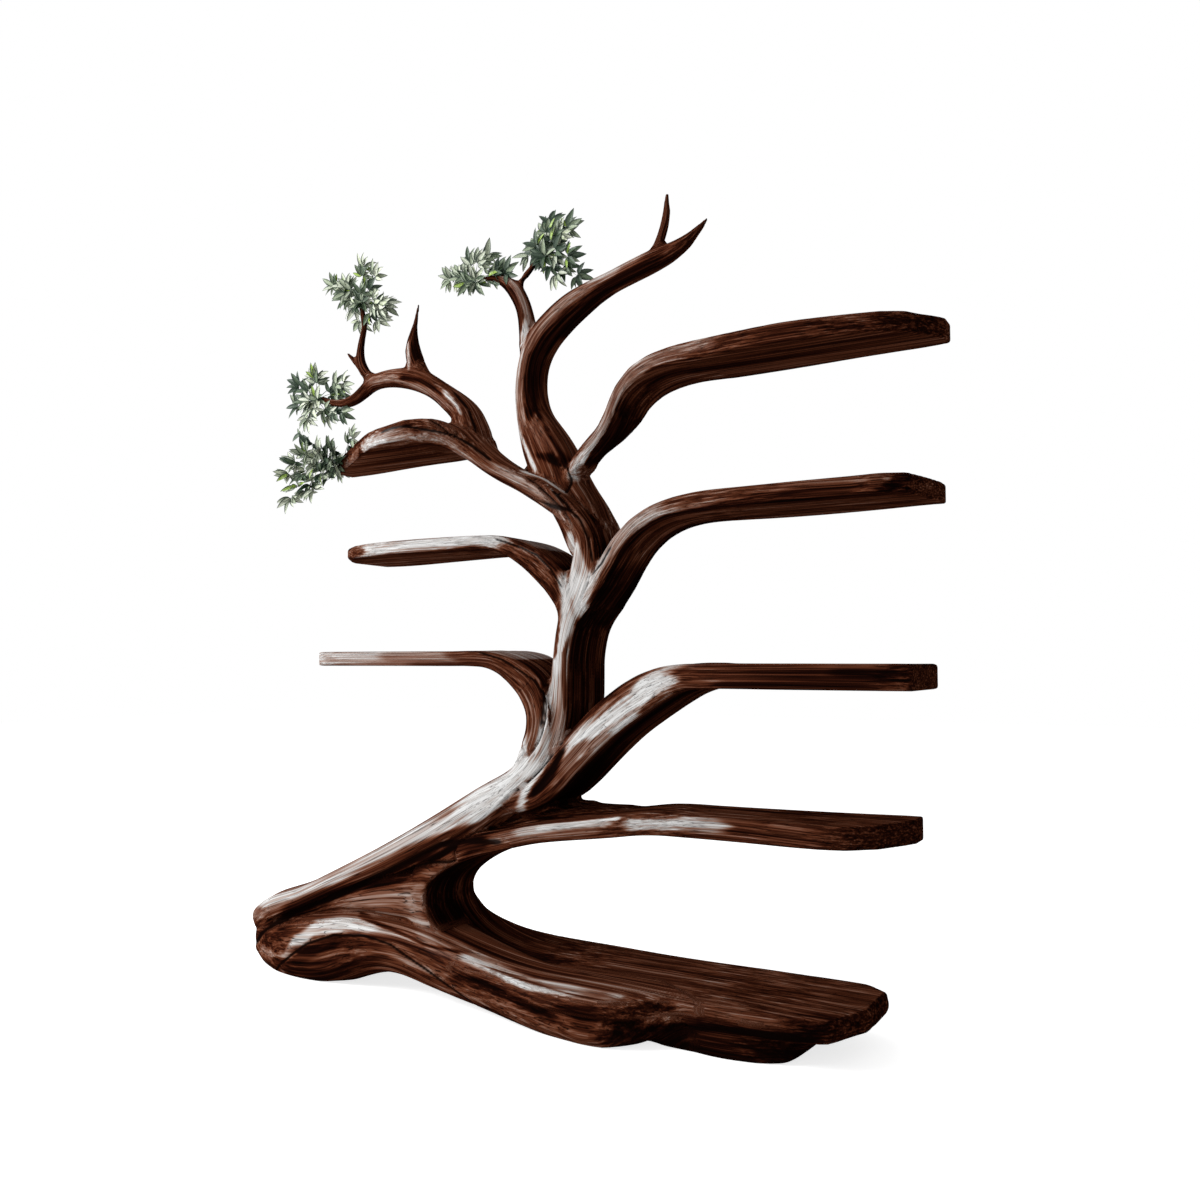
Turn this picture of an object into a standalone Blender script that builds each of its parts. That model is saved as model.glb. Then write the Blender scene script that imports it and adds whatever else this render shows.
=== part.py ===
"""Live edge bookshelf in the shape of a leaning tree, carved from dark hardwood.

A root mass rests on the floor, a leaning trunk rises from it, and seven shelves grow out of it as bent
boards. Every limb is one sweep: a path in the XZ plane, with a thickness across the path and a front and a
back in Y. A limb is cut square to its path at glue joints, so the pieces on both sides of a joint meet.
Metres, +Z up, +X to the right along the shelves, -Y to the front.
"""

import math

import bmesh
import bpy
from mathutils import Matrix, Vector

# Fits between pieces
GLUE_GAP = 0.0003
PIN_FIT = 0.0002
HOLE_SPARE = 0.001
FLOOR = 0.0
FAR = 5.0

# How finely the sweeps are faceted, and how near to an end, in steps, a ring may lie
LIMB_STEP, TWIG_STEP = 0.050, 0.032
END_CLEAR = 0.25
LIMB_SIDES, TWIG_SIDES, PIN_SIDES = 12, 8, 8
SHARP_ANGLE = math.radians(40)

# How finely a path is searched for a level
SEARCH_STEP = 0.004

# How square a section is: 2 is an ellipse, and more is squarer
ROUND = 2.0
SOFT = 3.2
FIRM = 10.0
BOARD = 16.0

# Shelf boards: the height of the middle of each board, its thickness and where its free end lies
BASE_LEVEL, BASE_THICK, BASE_END = 0.0785, 0.046, 0.609
RIGHT_1_LEVEL, RIGHT_1_THICK, RIGHT_1_END = 0.4485, 0.048, 0.684
RIGHT_2_LEVEL, RIGHT_2_THICK, RIGHT_2_END = 0.761, 0.051, 0.727
RIGHT_3_LEVEL, RIGHT_3_THICK, RIGHT_3_END = 1.1235, 0.039, 0.760
RIGHT_4_LEVEL, RIGHT_4_THICK, RIGHT_4_END = 1.438, 0.040, 0.780
LEFT_1_LEVEL, LEFT_1_THICK, LEFT_1_END = 0.798, 0.035, -0.767
LEFT_2_LEVEL, LEFT_2_THICK, LEFT_2_END = 1.068, 0.033, -0.756
LEFT_3_LEVEL, LEFT_3_THICK, LEFT_3_END = 1.333, 0.044, -0.880

# Depth of the trunk, the same on its whole upright stretch
TRUNK_FRONT, TRUNK_BACK = -0.089, 0.092

# Where the limbs are cut into pieces
BASE_JOINT_X, BASE_OVERLAP = -0.200, 0.080
CROTCH_CLEAR_Z = 0.250
TRUNK_JOINT_Z = 0.800
CROWN_JOINT_Z = 1.355
RIGHT_1_JOINT_X = 0.060
RIGHT_2_ARM_JOINT_X, RIGHT_2_SHELF_JOINT_X = 0.060, 0.300
RIGHT_3_ARM_JOINT_X, RIGHT_3_SHELF_JOINT_X = 0.085, 0.300
RIGHT_4_ARM_JOINT_X, RIGHT_4_SHELF_JOINT_X = 0.055, 0.300
LEFT_1_ARM_JOINT_Z, LEFT_1_SHELF_JOINT_X = 0.740, -0.300
LEFT_2_ARM_JOINT_X, LEFT_2_SHELF_JOINT_X = -0.075, -0.280
LEFT_3_LIMB_JOINT_X, LEFT_3_SHELF_JOINT_X = -0.215, -0.430
BOUGH_JOINT_Z = 1.404
CROWN_RIGHT_JOINT_X = -0.085
TWIG_LEFT_JOINT_X = -0.690

# How far from the start of its path each twig is jointed, in z or, for the last two, in x
CROWN_LEFT_RISE, BOUGH_SPIKE_RISE, CROWN_SPIKE_RISE = 0.112, 0.060, 0.051
CROWN_TWIG_REACH, TWIG_UP_REACH = 0.030, -0.052

# The foot under the free side of the base board: coped to the front strand, with a low tongue in the board
FOOT_LEFT, FOOT_RIGHT = 0.110, 0.530
FOOT_FRONT, FOOT_BACK = -0.098, 0.150
FOOT_FLAT_LEFT, FOOT_FLAT_RIGHT = 0.235, 0.445
FOOT_TONGUE_LEFT, FOOT_TONGUE_RIGHT, FOOT_TONGUE_HEIGHT = 0.310, 0.470, 0.005
FOOT_TONGUE_FRONT, FOOT_TONGUE_BACK = -0.050, 0.120
FOOT_DOWEL_LENGTH = 0.044

# Dowels and loose tenons
DOWEL_DIAMETER, DOWEL_LENGTH, DOWEL_SPREAD = 0.012, 0.060, 0.5
THICK_DOWEL_DIAMETER, THICK_DOWEL_LENGTH = 0.016, 0.090
TENON_THICK, TENON_WIDTH, TENON_LENGTH = 0.010, 0.060, 0.056
TWIG_TENON_DIAMETER, TWIG_TENON_LENGTH = 0.009, 0.022
FINE_TENON_DIAMETER, FINE_TENON_LENGTH = 0.006, 0.014

# Leaf sprays: a wire stem in a drilled socket, a bead, and flat toothed fronds that fan out from the bead
STEM_DIAMETER, STEM_REACH, SOCKET_DEPTH, BEAD_DIAMETER = 0.0028, 0.016, 0.012, 0.009
FROND_THICK, FROND_RIB, FROND_WIDTH = 0.0012, 0.003, 0.030
FROND_TEETH, FROND_DROOP = 5, 0.010
TOOTH_TIP, TOOTH_ROOT = 0.75, 0.10
FROND_TIP_ANGLE, FROND_SWEEP = 0.1 * math.pi, 0.8 * math.pi
FROND_LEAN = 0.35
FAN_DEGREES, FAN_DEPTH = 200, 0.5
SHORT_FROND = 0.88

# How many fronds each spray has, and how long the longest of them are
SHELF_FRONDS, SHELF_FROND_LENGTH = 6, 0.095
LEFT_FRONDS, LEFT_FROND_LENGTH = 6, 0.095
LEFT_TOP_FRONDS, LEFT_TOP_FROND_LENGTH = 7, 0.100
CROWN_LEFT_FRONDS, CROWN_LEFT_FROND_LENGTH = 6, 0.080
CROWN_FRONDS, CROWN_FROND_LENGTH = 7, 0.105

WALNUT = (0.075, 0.026, 0.014)
WALNUT_DARK = (0.040, 0.014, 0.009)
BEECH = (0.42, 0.27, 0.15)
LEAF_GREEN = (0.22, 0.30, 0.22)


class Limb:
    """A sweep along a path in the XZ plane, as stations of x, z, thickness, front, back and squareness.

    Its joints part it into stretches: stretch 0 ends at the first joint, stretch 1 at the next, and so on.
    """

    def __init__(self, *runs, joints=(), sides=LIMB_SIDES, step=LIMB_STEP):
        self.stations = [station for run in runs for station in run]
        self.sides, self.step = sides, step
        self.along = [0.0]
        for first, second in zip(self.stations, self.stations[1:]):
            gap = math.hypot(second[0] - first[0], second[1] - first[1])
            self.along.append(self.along[-1] + gap)
        self.length = self.along[-1]
        self.cuts = [self.where(axis, level) for axis, level in joints]

    def slope(self, i):
        """Rate of change of each station value at station i."""
        last = len(self.stations) - 1
        before, after = max(i - 1, 0), min(i + 1, last)
        if i in (0, last):
            span = self.along[after] - self.along[before]
            ends = zip(self.stations[before], self.stations[after])
            return [(b - a) / span for a, b in ends]
        left = self.along[i] - self.along[before]
        right = self.along[after] - self.along[i]
        rates = []
        for a, here, b in zip(self.stations[before], self.stations[i], self.stations[after]):
            rise = (here - a) / left * right + (b - here) / right * left
            rates.append(rise / (left + right))
        return rates

    def at(self, t):
        """The station values at distance t, and the unit tangent there."""
        t = min(max(t, 0.0), self.length)
        i = 0
        while i < len(self.along) - 2 and self.along[i + 1] < t:
            i += 1
        span = self.along[i + 1] - self.along[i]
        u = (t - self.along[i]) / span
        values, rates = [], []
        rows = zip(self.stations[i], self.stations[i + 1], self.slope(i), self.slope(i + 1))
        for a, b, from_a, to_b in rows:
            p, q = from_a * span, to_b * span
            cubic, square = 2 * a - 2 * b + p + q, 3 * b - 3 * a - 2 * p - q
            values.append(((cubic * u + square) * u + p) * u + a)
            rates.append((3 * cubic * u + 2 * square) * u + p)
        return values, Vector((rates[0], 0, rates[1])).normalized()

    def where(self, axis, level, first=False):
        """The distance at which the path last, or first, crosses a level of x or z."""
        index = "xz".index(axis)
        count = math.ceil(self.length / SEARCH_STEP)
        found = None
        for k in range(count):
            a, b = self.length * k / count, self.length * (k + 1) / count
            low, high = self.at(a)[0][index] - level, self.at(b)[0][index] - level
            if low * high <= 0 and low != high:
                found = a + (b - a) * low / (low - high)
                if first:
                    break
        return found

    def middle(self, t):
        """The centre of the section at distance t."""
        (x, z, _, front, back, _), _ = self.at(t)
        return Vector((x, (front + back) / 2, z))

    def ring(self, t, shift=0.0):
        """Points round the section at distance t, moved along the path by shift."""
        (x, z, thick, front, back, square), tangent = self.at(t)
        across = Vector((-tangent.z, 0, tangent.x))
        centre = Vector((x, (front + back) / 2, z)) + tangent * shift
        points = []
        for k in range(self.sides):
            angle = 2 * math.pi * (k + 0.5) / self.sides
            c, s = math.cos(angle), math.sin(angle)
            rise = math.copysign(abs(c) ** (2 / square), c) * thick / 2
            depth = math.copysign(abs(s) ** (2 / square), s) * (back - front) / 2
            points.append(centre + across * rise + Vector((0, depth, 0)))
        return points

    def stretch(self, name, start, end, cut_start=False, cut_end=False):
        """A solid from start to end, half a glue gap short of each end that is a joint."""
        first, last = math.ceil(start / self.step + END_CLEAR), math.floor(end / self.step - END_CLEAR)
        rings = [self.ring(start, GLUE_GAP / 2 if cut_start else 0.0)]
        rings += [self.ring(k * self.step) for k in range(first, last + 1)]
        rings.append(self.ring(end, -GLUE_GAP / 2 if cut_end else 0.0))
        return skin(name, rings)

    def part(self, name, index):
        """The stretch between two joints, or between a joint and an end of the path."""
        ends = [0.0, *self.cuts, self.length]
        last = len(self.cuts)
        return self.stretch(name, ends[index], ends[index + 1], index > 0, index < last)

    def joint(self, index, before, after):
        """The joint at one cut of this limb."""
        (_, _, _, front, back, _), axis = self.at(self.cuts[index])
        return Joint(before, after, self.middle(self.cuts[index]), axis, back - front)


def skin(name, rings):
    """A closed mesh object through rings of points, with flat caps."""
    bm = bmesh.new()
    loops = [[bm.verts.new(point) for point in ring] for ring in rings]
    for low, high in zip(loops, loops[1:]):
        for k in range(len(low)):
            bm.faces.new((low[k - 1], low[k], high[k], high[k - 1]))
    bm.faces.new(loops[0])
    bm.faces.new(reversed(loops[-1]))
    return solid_object(name, bm)


def solid_object(name, bm):
    """Triangulates a closed bmesh, turns its faces outwards and links it as an object."""
    bmesh.ops.triangulate(bm, faces=bm.faces)
    bmesh.ops.recalc_face_normals(bm, faces=bm.faces)
    mesh = bpy.data.meshes.new(name)
    bm.to_mesh(mesh)
    bm.free()
    obj = bpy.data.objects.new(name, mesh)
    bpy.context.scene.collection.objects.link(obj)
    return obj


def boolean(obj, other, operation, keep_other=False, solver="EXACT"):
    """Applies one Boolean to obj, and removes the other object unless it is still needed."""
    modifier = obj.modifiers.new("shape", "BOOLEAN")
    modifier.operation = operation
    modifier.solver = solver
    modifier.object = other
    bpy.context.view_layer.update()
    graph = bpy.context.evaluated_depsgraph_get()
    mesh = bpy.data.meshes.new_from_object(obj.evaluated_get(graph))
    obj.modifiers.clear()
    obj.data = mesh
    if not keep_other:
        bpy.data.objects.remove(other)
    return obj


def union(obj, *others, solver="EXACT"):
    for other in others:
        boolean(obj, other, "UNION", solver=solver)
    return obj


def carve(obj, cutter, keep_cutter=False):
    return boolean(obj, cutter, "DIFFERENCE", keep_cutter)


def block(low, high):
    """A plain box between two corners, as a cutter."""
    low, high = Vector(low), Vector(high)
    bm = bmesh.new()
    size = high - low
    place = Matrix.Translation((low + high) / 2) @ Matrix.Diagonal((*size, 1))
    bmesh.ops.create_cube(bm, size=1, matrix=place)
    return solid_object("block", bm)


def rod(name, centre, axis, diameter, length, sides=PIN_SIDES):
    """A straight round rod about a centre."""
    turn = axis.to_track_quat("Z", "Y").to_matrix().to_4x4()
    bm = bmesh.new()
    bmesh.ops.create_cone(
        bm,
        cap_ends=True,
        segments=sides,
        radius1=diameter / 2,
        radius2=diameter / 2,
        depth=length,
        matrix=Matrix.Translation(centre) @ turn,
    )
    return solid_object(name, bm)


def tongue(name, centre, axis, thick, width, length):
    """A flat loose tenon with half round edges, its width along Y."""
    across = Vector((-axis.z, 0, axis.x))
    outline = []
    for side in (1, -1):
        for degrees in (60, 0, -60):
            angle = math.radians(degrees)
            rise = side * math.sin(angle) * thick / 2
            reach = side * ((width - thick) / 2 + math.cos(angle) * thick / 2)
            outline.append(across * rise + Vector((0, reach, 0)))
    rings = [[centre + axis * end + point for point in outline] for end in (-length / 2, length / 2)]
    return skin(name, rings)


class Joint:
    """A glue joint square to an axis, between the piece before it and the piece after it."""

    def __init__(self, before, after, centre, axis, depth):
        self.pieces = before, after
        self.centre, self.axis, self.depth = centre, axis, depth

    def fit(self, hole):
        """Cuts one hole shape from both pieces."""
        carve(self.pieces[0], hole, keep_cutter=True)
        carve(self.pieces[1], hole)

    def dowel(self, name, diameter=DOWEL_DIAMETER, length=DOWEL_LENGTH, offset=0.0):
        centre = self.centre + Vector((0, offset, 0))
        self.fit(rod("hole", centre, self.axis, diameter + 2 * PIN_FIT, length + 2 * HOLE_SPARE))
        return rod(name, centre, self.axis, diameter, length)

    def dowels(self, name, *sizes):
        """Two dowels side by side, along the depth of the joint."""
        spread = self.depth * DOWEL_SPREAD
        front = self.dowel(f"{name}_front", *sizes, offset=-spread / 2)
        return [front, self.dowel(f"{name}_back", *sizes, offset=spread / 2)]

    def loose_tenon(self, name):
        fit, spare = 2 * PIN_FIT, 2 * HOLE_SPARE
        sizes = TENON_THICK + fit, TENON_WIDTH + fit, TENON_LENGTH + spare
        self.fit(tongue("mortise", self.centre, self.axis, *sizes))
        return tongue(name, self.centre, self.axis, TENON_THICK, TENON_WIDTH, TENON_LENGTH)

    def own_tenon(self, diameter, length):
        """A round tenon on the piece after the joint, in a socket in the piece before it."""
        before, after = self.pieces
        wide, deep = diameter + 2 * PIN_FIT, 2 * (length + HOLE_SPARE)
        carve(before, rod("socket", self.centre, self.axis, wide, deep))
        union(after, rod("tenon", self.centre, self.axis, diameter, 2 * length))


def level_run(level, thick, plan, square=BOARD):
    """Stations of a level board from its plan of x, front and back."""
    return [(x, level, thick, front, back, square) for x, front, back in plan]


# The limbs. A run holds x, z, thickness, front, back and squareness.

LEAN_RUN = [
    (-1.000, 0.105, 0.085, -0.100, 0.060, SOFT),
    (-0.930, 0.143, 0.090, -0.120, 0.085, SOFT),
    (-0.820, 0.186, 0.077, -0.120, 0.088, SOFT),
    (-0.690, 0.244, 0.078, -0.120, 0.094, SOFT),
    (-0.563, 0.298, 0.093, -0.120, 0.100, SOFT),
    (-0.385, 0.386, 0.102, -0.120, 0.092, SOFT),
    (-0.262, 0.457, 0.101, -0.115, 0.088, SOFT),
    (-0.155, 0.528, 0.081, -0.100, 0.086, SOFT),
    (-0.095, 0.600, 0.072, -0.090, 0.088, SOFT),
]
UPRIGHT_RUN = [
    (-0.066, 0.670, 0.058, TRUNK_FRONT, TRUNK_BACK, FIRM),
    (-0.059, 0.735, 0.049, TRUNK_FRONT, TRUNK_BACK, FIRM),
    (-0.054, 0.810, 0.040, TRUNK_FRONT, TRUNK_BACK, FIRM),
    (-0.040, 0.880, 0.047, TRUNK_FRONT, TRUNK_BACK, FIRM),
    (-0.010, 0.950, 0.064, TRUNK_FRONT, TRUNK_BACK, FIRM),
    (0.010, 1.015, 0.070, TRUNK_FRONT, 0.070, FIRM),
]
LEFT_3_LIMB_RUN = [
    (0.008, 1.068, 0.054, -0.092, 0.050, SOFT),
    (-0.016, 1.107, 0.052, -0.100, 0.035, SOFT),
    (-0.055, 1.142, 0.058, -0.102, 0.024, SOFT),
    (-0.109, 1.180, 0.062, -0.106, 0.016, SOFT),
    (-0.170, 1.210, 0.047, -0.110, 0.008, SOFT),
    (-0.233, 1.243, 0.049, -0.116, 0.014, SOFT),
    (-0.297, 1.290, 0.054, -0.122, 0.008, SOFT),
    (-0.345, 1.326, 0.062, -0.147, 0.052, FIRM),
    (-0.400, 1.342, 0.062, -0.176, 0.088, FIRM),
]
LEFT_3_PLAN = [
    (-0.470, -0.195, 0.092),
    (-0.550, -0.170, 0.095),
    (-0.640, -0.112, 0.105),
    (-0.730, -0.045, 0.120),
    (-0.810, 0.012, 0.130),
    (LEFT_3_END, 0.062, 0.128),
]

YOKE_RUN = [
    (-0.984, 0.074, 0.086, -0.112, 0.050, SOFT),
    (-0.932, 0.062, 0.132, -0.130, 0.070, SOFT),
    (-0.870, 0.060, 0.160, -0.146, 0.088, SOFT),
    (-0.800, 0.064, 0.180, -0.154, 0.098, SOFT),
    (-0.720, 0.074, 0.182, -0.154, 0.100, SOFT),
    (-0.645, 0.094, 0.168, -0.150, 0.098, SOFT),
    (-0.560, 0.106, 0.142, -0.140, 0.090, SOFT),
    (-0.480, 0.107, 0.132, -0.140, 0.080, SOFT),
    (-0.400, 0.095, 0.132, -0.143, 0.060, SOFT),
    (-0.300, 0.077, 0.121, -0.150, 0.040, SOFT),
    (-0.200, 0.063, 0.110, -0.162, 0.020, SOFT),
    (-0.100, 0.052, 0.112, -0.176, 0.000, SOFT),
    (0.010, 0.046, 0.122, -0.187, 0.000, SOFT),
    (0.105, 0.047, 0.118, -0.190, 0.000, SOFT),
    (0.170, 0.056, 0.098, -0.158, 0.000, SOFT),
    (0.235, 0.072, 0.064, -0.110, 0.000, SOFT),
    (0.320, BASE_LEVEL, 0.038, -0.090, 0.000, SOFT),
]
WEB_RUN = [
    (-0.965, 0.108, 0.050, -0.090, 0.050, SOFT),
    (-0.800, 0.165, 0.050, -0.096, 0.080, SOFT),
    (-0.700, 0.196, 0.080, -0.104, 0.085, SOFT),
    (-0.600, 0.214, 0.115, -0.107, 0.090, SOFT),
    (-0.500, 0.222, 0.156, -0.106, 0.095, SOFT),
    (-0.445, 0.222, 0.156, -0.1035, 0.098, SOFT),
]
CREASE_RUN = [
    (-0.330, 0.385, 0.040, -0.080, 0.090, SOFT),
    (-0.230, 0.420, 0.062, -0.075, 0.092, SOFT),
    (-0.150, 0.440, 0.062, -0.062, 0.096, SOFT),
    (-0.100, 0.442, 0.044, -0.050, 0.099, FIRM),
    (-0.050, 0.443, 0.032, -0.045, 0.099, FIRM),
    (0.000, 0.445, 0.029, -0.040, 0.098, FIRM),
    (0.050, 0.448, 0.026, -0.035, 0.096, FIRM),
]
BASE_PLAN = [
    (BASE_END, 0.028, 0.160),
    (0.603, -0.010, 0.186),
    (0.591, -0.040, 0.198),
    (0.560, -0.078, 0.200),
    (0.500, -0.102, 0.200),
    (0.420, -0.112, 0.198),
    (0.330, -0.106, 0.196),
    (0.250, -0.102, 0.192),
    (0.100, -0.106, 0.192),
    (-0.050, -0.106, 0.200),
    (-0.180, -0.104, 0.206),
]
CROTCH_RUN = [
    (-0.280, 0.088, 0.050, -0.104, 0.188, FIRM),
    (-0.360, 0.112, 0.056, -0.104, 0.154, FIRM),
    (-0.424, 0.157, 0.060, -0.102, 0.116, FIRM),
    (-0.457, 0.216, 0.062, -0.102, 0.100, FIRM),
    (-0.440, 0.276, 0.062, -0.104, 0.100, FIRM),
    (-0.380, 0.326, 0.060, -0.108, 0.104, FIRM),
    (-0.295, 0.362, 0.054, -0.114, 0.104, FIRM),
    (-0.200, 0.386, 0.047, -0.118, 0.101, FIRM),
    (-0.110, 0.408, 0.045, -0.118, 0.097, FIRM),
    (-0.010, 0.424, 0.046, -0.116, 0.095, FIRM),
    (0.080, 0.437, 0.047, -0.112, 0.095, BOARD),
]
RIGHT_1_PLAN = [
    (0.160, -0.100, 0.094),
    (0.250, -0.086, 0.100),
    (0.370, -0.082, 0.112),
    (0.500, -0.086, 0.128),
    (0.585, -0.072, 0.142),
    (0.635, -0.034, 0.152),
    (0.662, 0.018, 0.156),
    (RIGHT_1_END, 0.090, 0.150),
]

RIGHT_2_RUN = [
    (-0.285, 0.425, 0.040, -0.096, 0.070, SOFT),
    (-0.210, 0.462, 0.060, -0.096, 0.080, SOFT),
    (-0.115, 0.507, 0.082, -0.094, 0.090, FIRM),
    (-0.030, 0.583, 0.080, -0.092, 0.098, FIRM),
    (0.032, 0.642, 0.081, -0.095, 0.101, FIRM),
    (0.094, 0.689, 0.083, -0.100, 0.103, FIRM),
    (0.149, 0.723, 0.081, -0.105, 0.103, FIRM),
    (0.200, 0.747, 0.069, -0.111, 0.104, FIRM),
    (0.250, 0.760, 0.054, -0.117, 0.107, FIRM),
]
RIGHT_2_PLAN = [
    (0.310, -0.120, 0.110),
    (0.450, -0.122, 0.118),
    (0.620, -0.122, 0.120),
    (0.700, -0.118, 0.118),
    (RIGHT_2_END, -0.110, 0.112),
]
RIGHT_3_RUN = [
    (-0.045, 0.850, 0.022, -0.084, 0.086, FIRM),
    (-0.008, 0.910, 0.036, -0.087, 0.086, FIRM),
    (0.031, 0.956, 0.042, -0.094, 0.078, FIRM),
    (0.067, 1.004, 0.038, -0.100, 0.068, FIRM),
    (0.117, 1.066, 0.037, -0.104, 0.066, FIRM),
    (0.152, 1.091, 0.035, -0.108, 0.070, FIRM),
    (0.193, 1.109, 0.035, -0.112, 0.078, FIRM),
    (0.240, 1.119, 0.037, -0.117, 0.086, FIRM),
]
RIGHT_3_PLAN = [
    (0.300, -0.122, 0.096),
    (0.400, -0.131, 0.104),
    (0.530, -0.138, 0.100),
    (0.650, -0.138, 0.084),
    (0.722, -0.136, 0.070),
    (0.738, -0.112, 0.066),
    (RIGHT_3_END, 0.020, 0.060),
]
RIGHT_4_RUN = [
    (-0.070, 1.205, 0.024, -0.058, 0.000, SOFT),
    (-0.036, 1.228, 0.038, -0.076, 0.010, SOFT),
    (-0.006, 1.252, 0.036, -0.090, -0.016, FIRM),
    (0.025, 1.272, 0.029, -0.094, -0.024, FIRM),
    (0.052, 1.298, 0.026, -0.097, 0.004, FIRM),
    (0.073, 1.329, 0.025, -0.100, 0.030, FIRM),
    (0.088, 1.358, 0.026, -0.103, 0.040, FIRM),
    (0.104, 1.384, 0.029, -0.106, 0.044, FIRM),
    (0.130, 1.408, 0.034, -0.110, 0.050, FIRM),
    (0.175, 1.428, 0.037, -0.114, 0.060, FIRM),
    (0.225, 1.437, 0.038, -0.118, 0.066, FIRM),
]
RIGHT_4_PLAN = [
    (0.290, -0.126, 0.066),
    (0.400, -0.142, 0.064),
    (0.500, -0.149, 0.058),
    (0.610, -0.134, 0.048),
    (0.700, -0.110, 0.044),
    (0.748, -0.074, 0.042),
    (RIGHT_4_END, -0.008, 0.034),
]
LEFT_1_RUN = [
    (-0.180, 0.496, 0.044, -0.094, 0.060, SOFT),
    (-0.136, 0.568, 0.064, -0.097, 0.058, FIRM),
    (-0.108, 0.630, 0.066, -0.100, 0.054, FIRM),
    (-0.102, 0.670, 0.069, -0.102, 0.052, FIRM),
    (-0.110, 0.706, 0.073, -0.104, 0.052, FIRM),
    (-0.129, 0.737, 0.073, -0.107, 0.056, FIRM),
    (-0.156, 0.761, 0.064, -0.111, 0.066, FIRM),
    (-0.188, 0.781, 0.051, -0.115, 0.080, FIRM),
    (-0.225, 0.795, 0.041, -0.118, 0.092, FIRM),
    (-0.265, 0.799, 0.037, -0.120, 0.102, FIRM),
]
LEFT_1_PLAN = [
    (-0.320, -0.120, 0.110),
    (-0.450, -0.122, 0.118),
    (-0.620, -0.122, 0.120),
    (-0.735, -0.118, 0.116),
    (LEFT_1_END, -0.110, 0.108),
]
LEFT_2_RUN = [
    (-0.030, 0.862, 0.028, -0.080, 0.060, FIRM),
    (-0.037, 0.912, 0.056, -0.090, 0.060, FIRM),
    (-0.062, 0.964, 0.067, -0.096, 0.056, FIRM),
    (-0.097, 1.001, 0.067, -0.102, 0.054, FIRM),
    (-0.134, 1.030, 0.058, -0.109, 0.058, FIRM),
    (-0.178, 1.053, 0.046, -0.116, 0.066, FIRM),
    (-0.225, 1.067, 0.036, -0.123, 0.074, FIRM),
]
LEFT_2_PLAN = [
    (-0.290, -0.131, 0.084),
    (-0.400, -0.139, 0.100),
    (-0.510, -0.135, 0.122),
    (-0.620, -0.117, 0.143),
    (-0.695, -0.083, 0.150),
    (-0.736, -0.042, 0.146),
    (LEFT_2_END, 0.000, 0.136),
]

BOUGH_RUN = [
    (-0.245, 1.240, 0.022, -0.088, 0.000, SOFT),
    (-0.302, 1.290, 0.042, -0.092, 0.012, SOFT),
    (-0.331, 1.342, 0.058, -0.088, 0.018, SOFT),
    (-0.361, 1.398, 0.058, -0.080, 0.016, SOFT),
    (-0.403, 1.436, 0.055, -0.074, 0.010, SOFT),
    (-0.440, 1.463, 0.053, -0.072, 0.006, ROUND),
    (-0.495, 1.496, 0.058, -0.070, 0.004, ROUND),
    (-0.560, 1.516, 0.052, -0.064, -0.002, ROUND),
    (-0.625, 1.522, 0.043, -0.056, -0.010, ROUND),
    (-0.664, 1.518, 0.040, -0.053, -0.013, ROUND),
    (-0.694, 1.500, 0.036, -0.049, -0.015, ROUND),
    (-0.724, 1.483, 0.032, -0.047, -0.017, ROUND),
    (-0.770, 1.475, 0.025, -0.043, -0.020, ROUND),
    (-0.815, 1.485, 0.018, -0.040, -0.022, ROUND),
    (-0.850, 1.500, 0.010, -0.036, -0.026, ROUND),
]
BOUGH_SPIKE_RUN = [
    (-0.495, 1.500, 0.040, -0.050, -0.016, ROUND),
    (-0.518, 1.540, 0.050, -0.058, -0.010, ROUND),
    (-0.530, 1.568, 0.044, -0.056, -0.010, ROUND),
    (-0.536, 1.594, 0.041, -0.052, -0.014, ROUND),
    (-0.534, 1.613, 0.030, -0.047, -0.020, ROUND),
    (-0.527, 1.639, 0.016, -0.041, -0.027, ROUND),
    (-0.521, 1.669, 0.010, -0.038, -0.030, ROUND),
    (-0.515, 1.700, 0.005, -0.036, -0.031, ROUND),
]
TWIG_UP_RUN = [
    (-0.640, 1.516, 0.026, -0.046, -0.020, ROUND),
    (-0.674, 1.530, 0.030, -0.048, -0.018, ROUND),
    (-0.703, 1.561, 0.028, -0.046, -0.020, ROUND),
    (-0.713, 1.596, 0.023, -0.044, -0.022, ROUND),
    (-0.708, 1.631, 0.018, -0.042, -0.024, ROUND),
    (-0.697, 1.672, 0.016, -0.040, -0.025, ROUND),
    (-0.703, 1.700, 0.015, -0.040, -0.026, ROUND),
    (-0.708, 1.724, 0.013, -0.039, -0.027, ROUND),
]
THORN_RUN = [
    (-0.700, 1.558, 0.024, -0.044, -0.022, ROUND),
    (-0.728, 1.583, 0.018, -0.041, -0.025, ROUND),
    (-0.756, 1.609, 0.005, -0.036, -0.031, ROUND),
]
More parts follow.
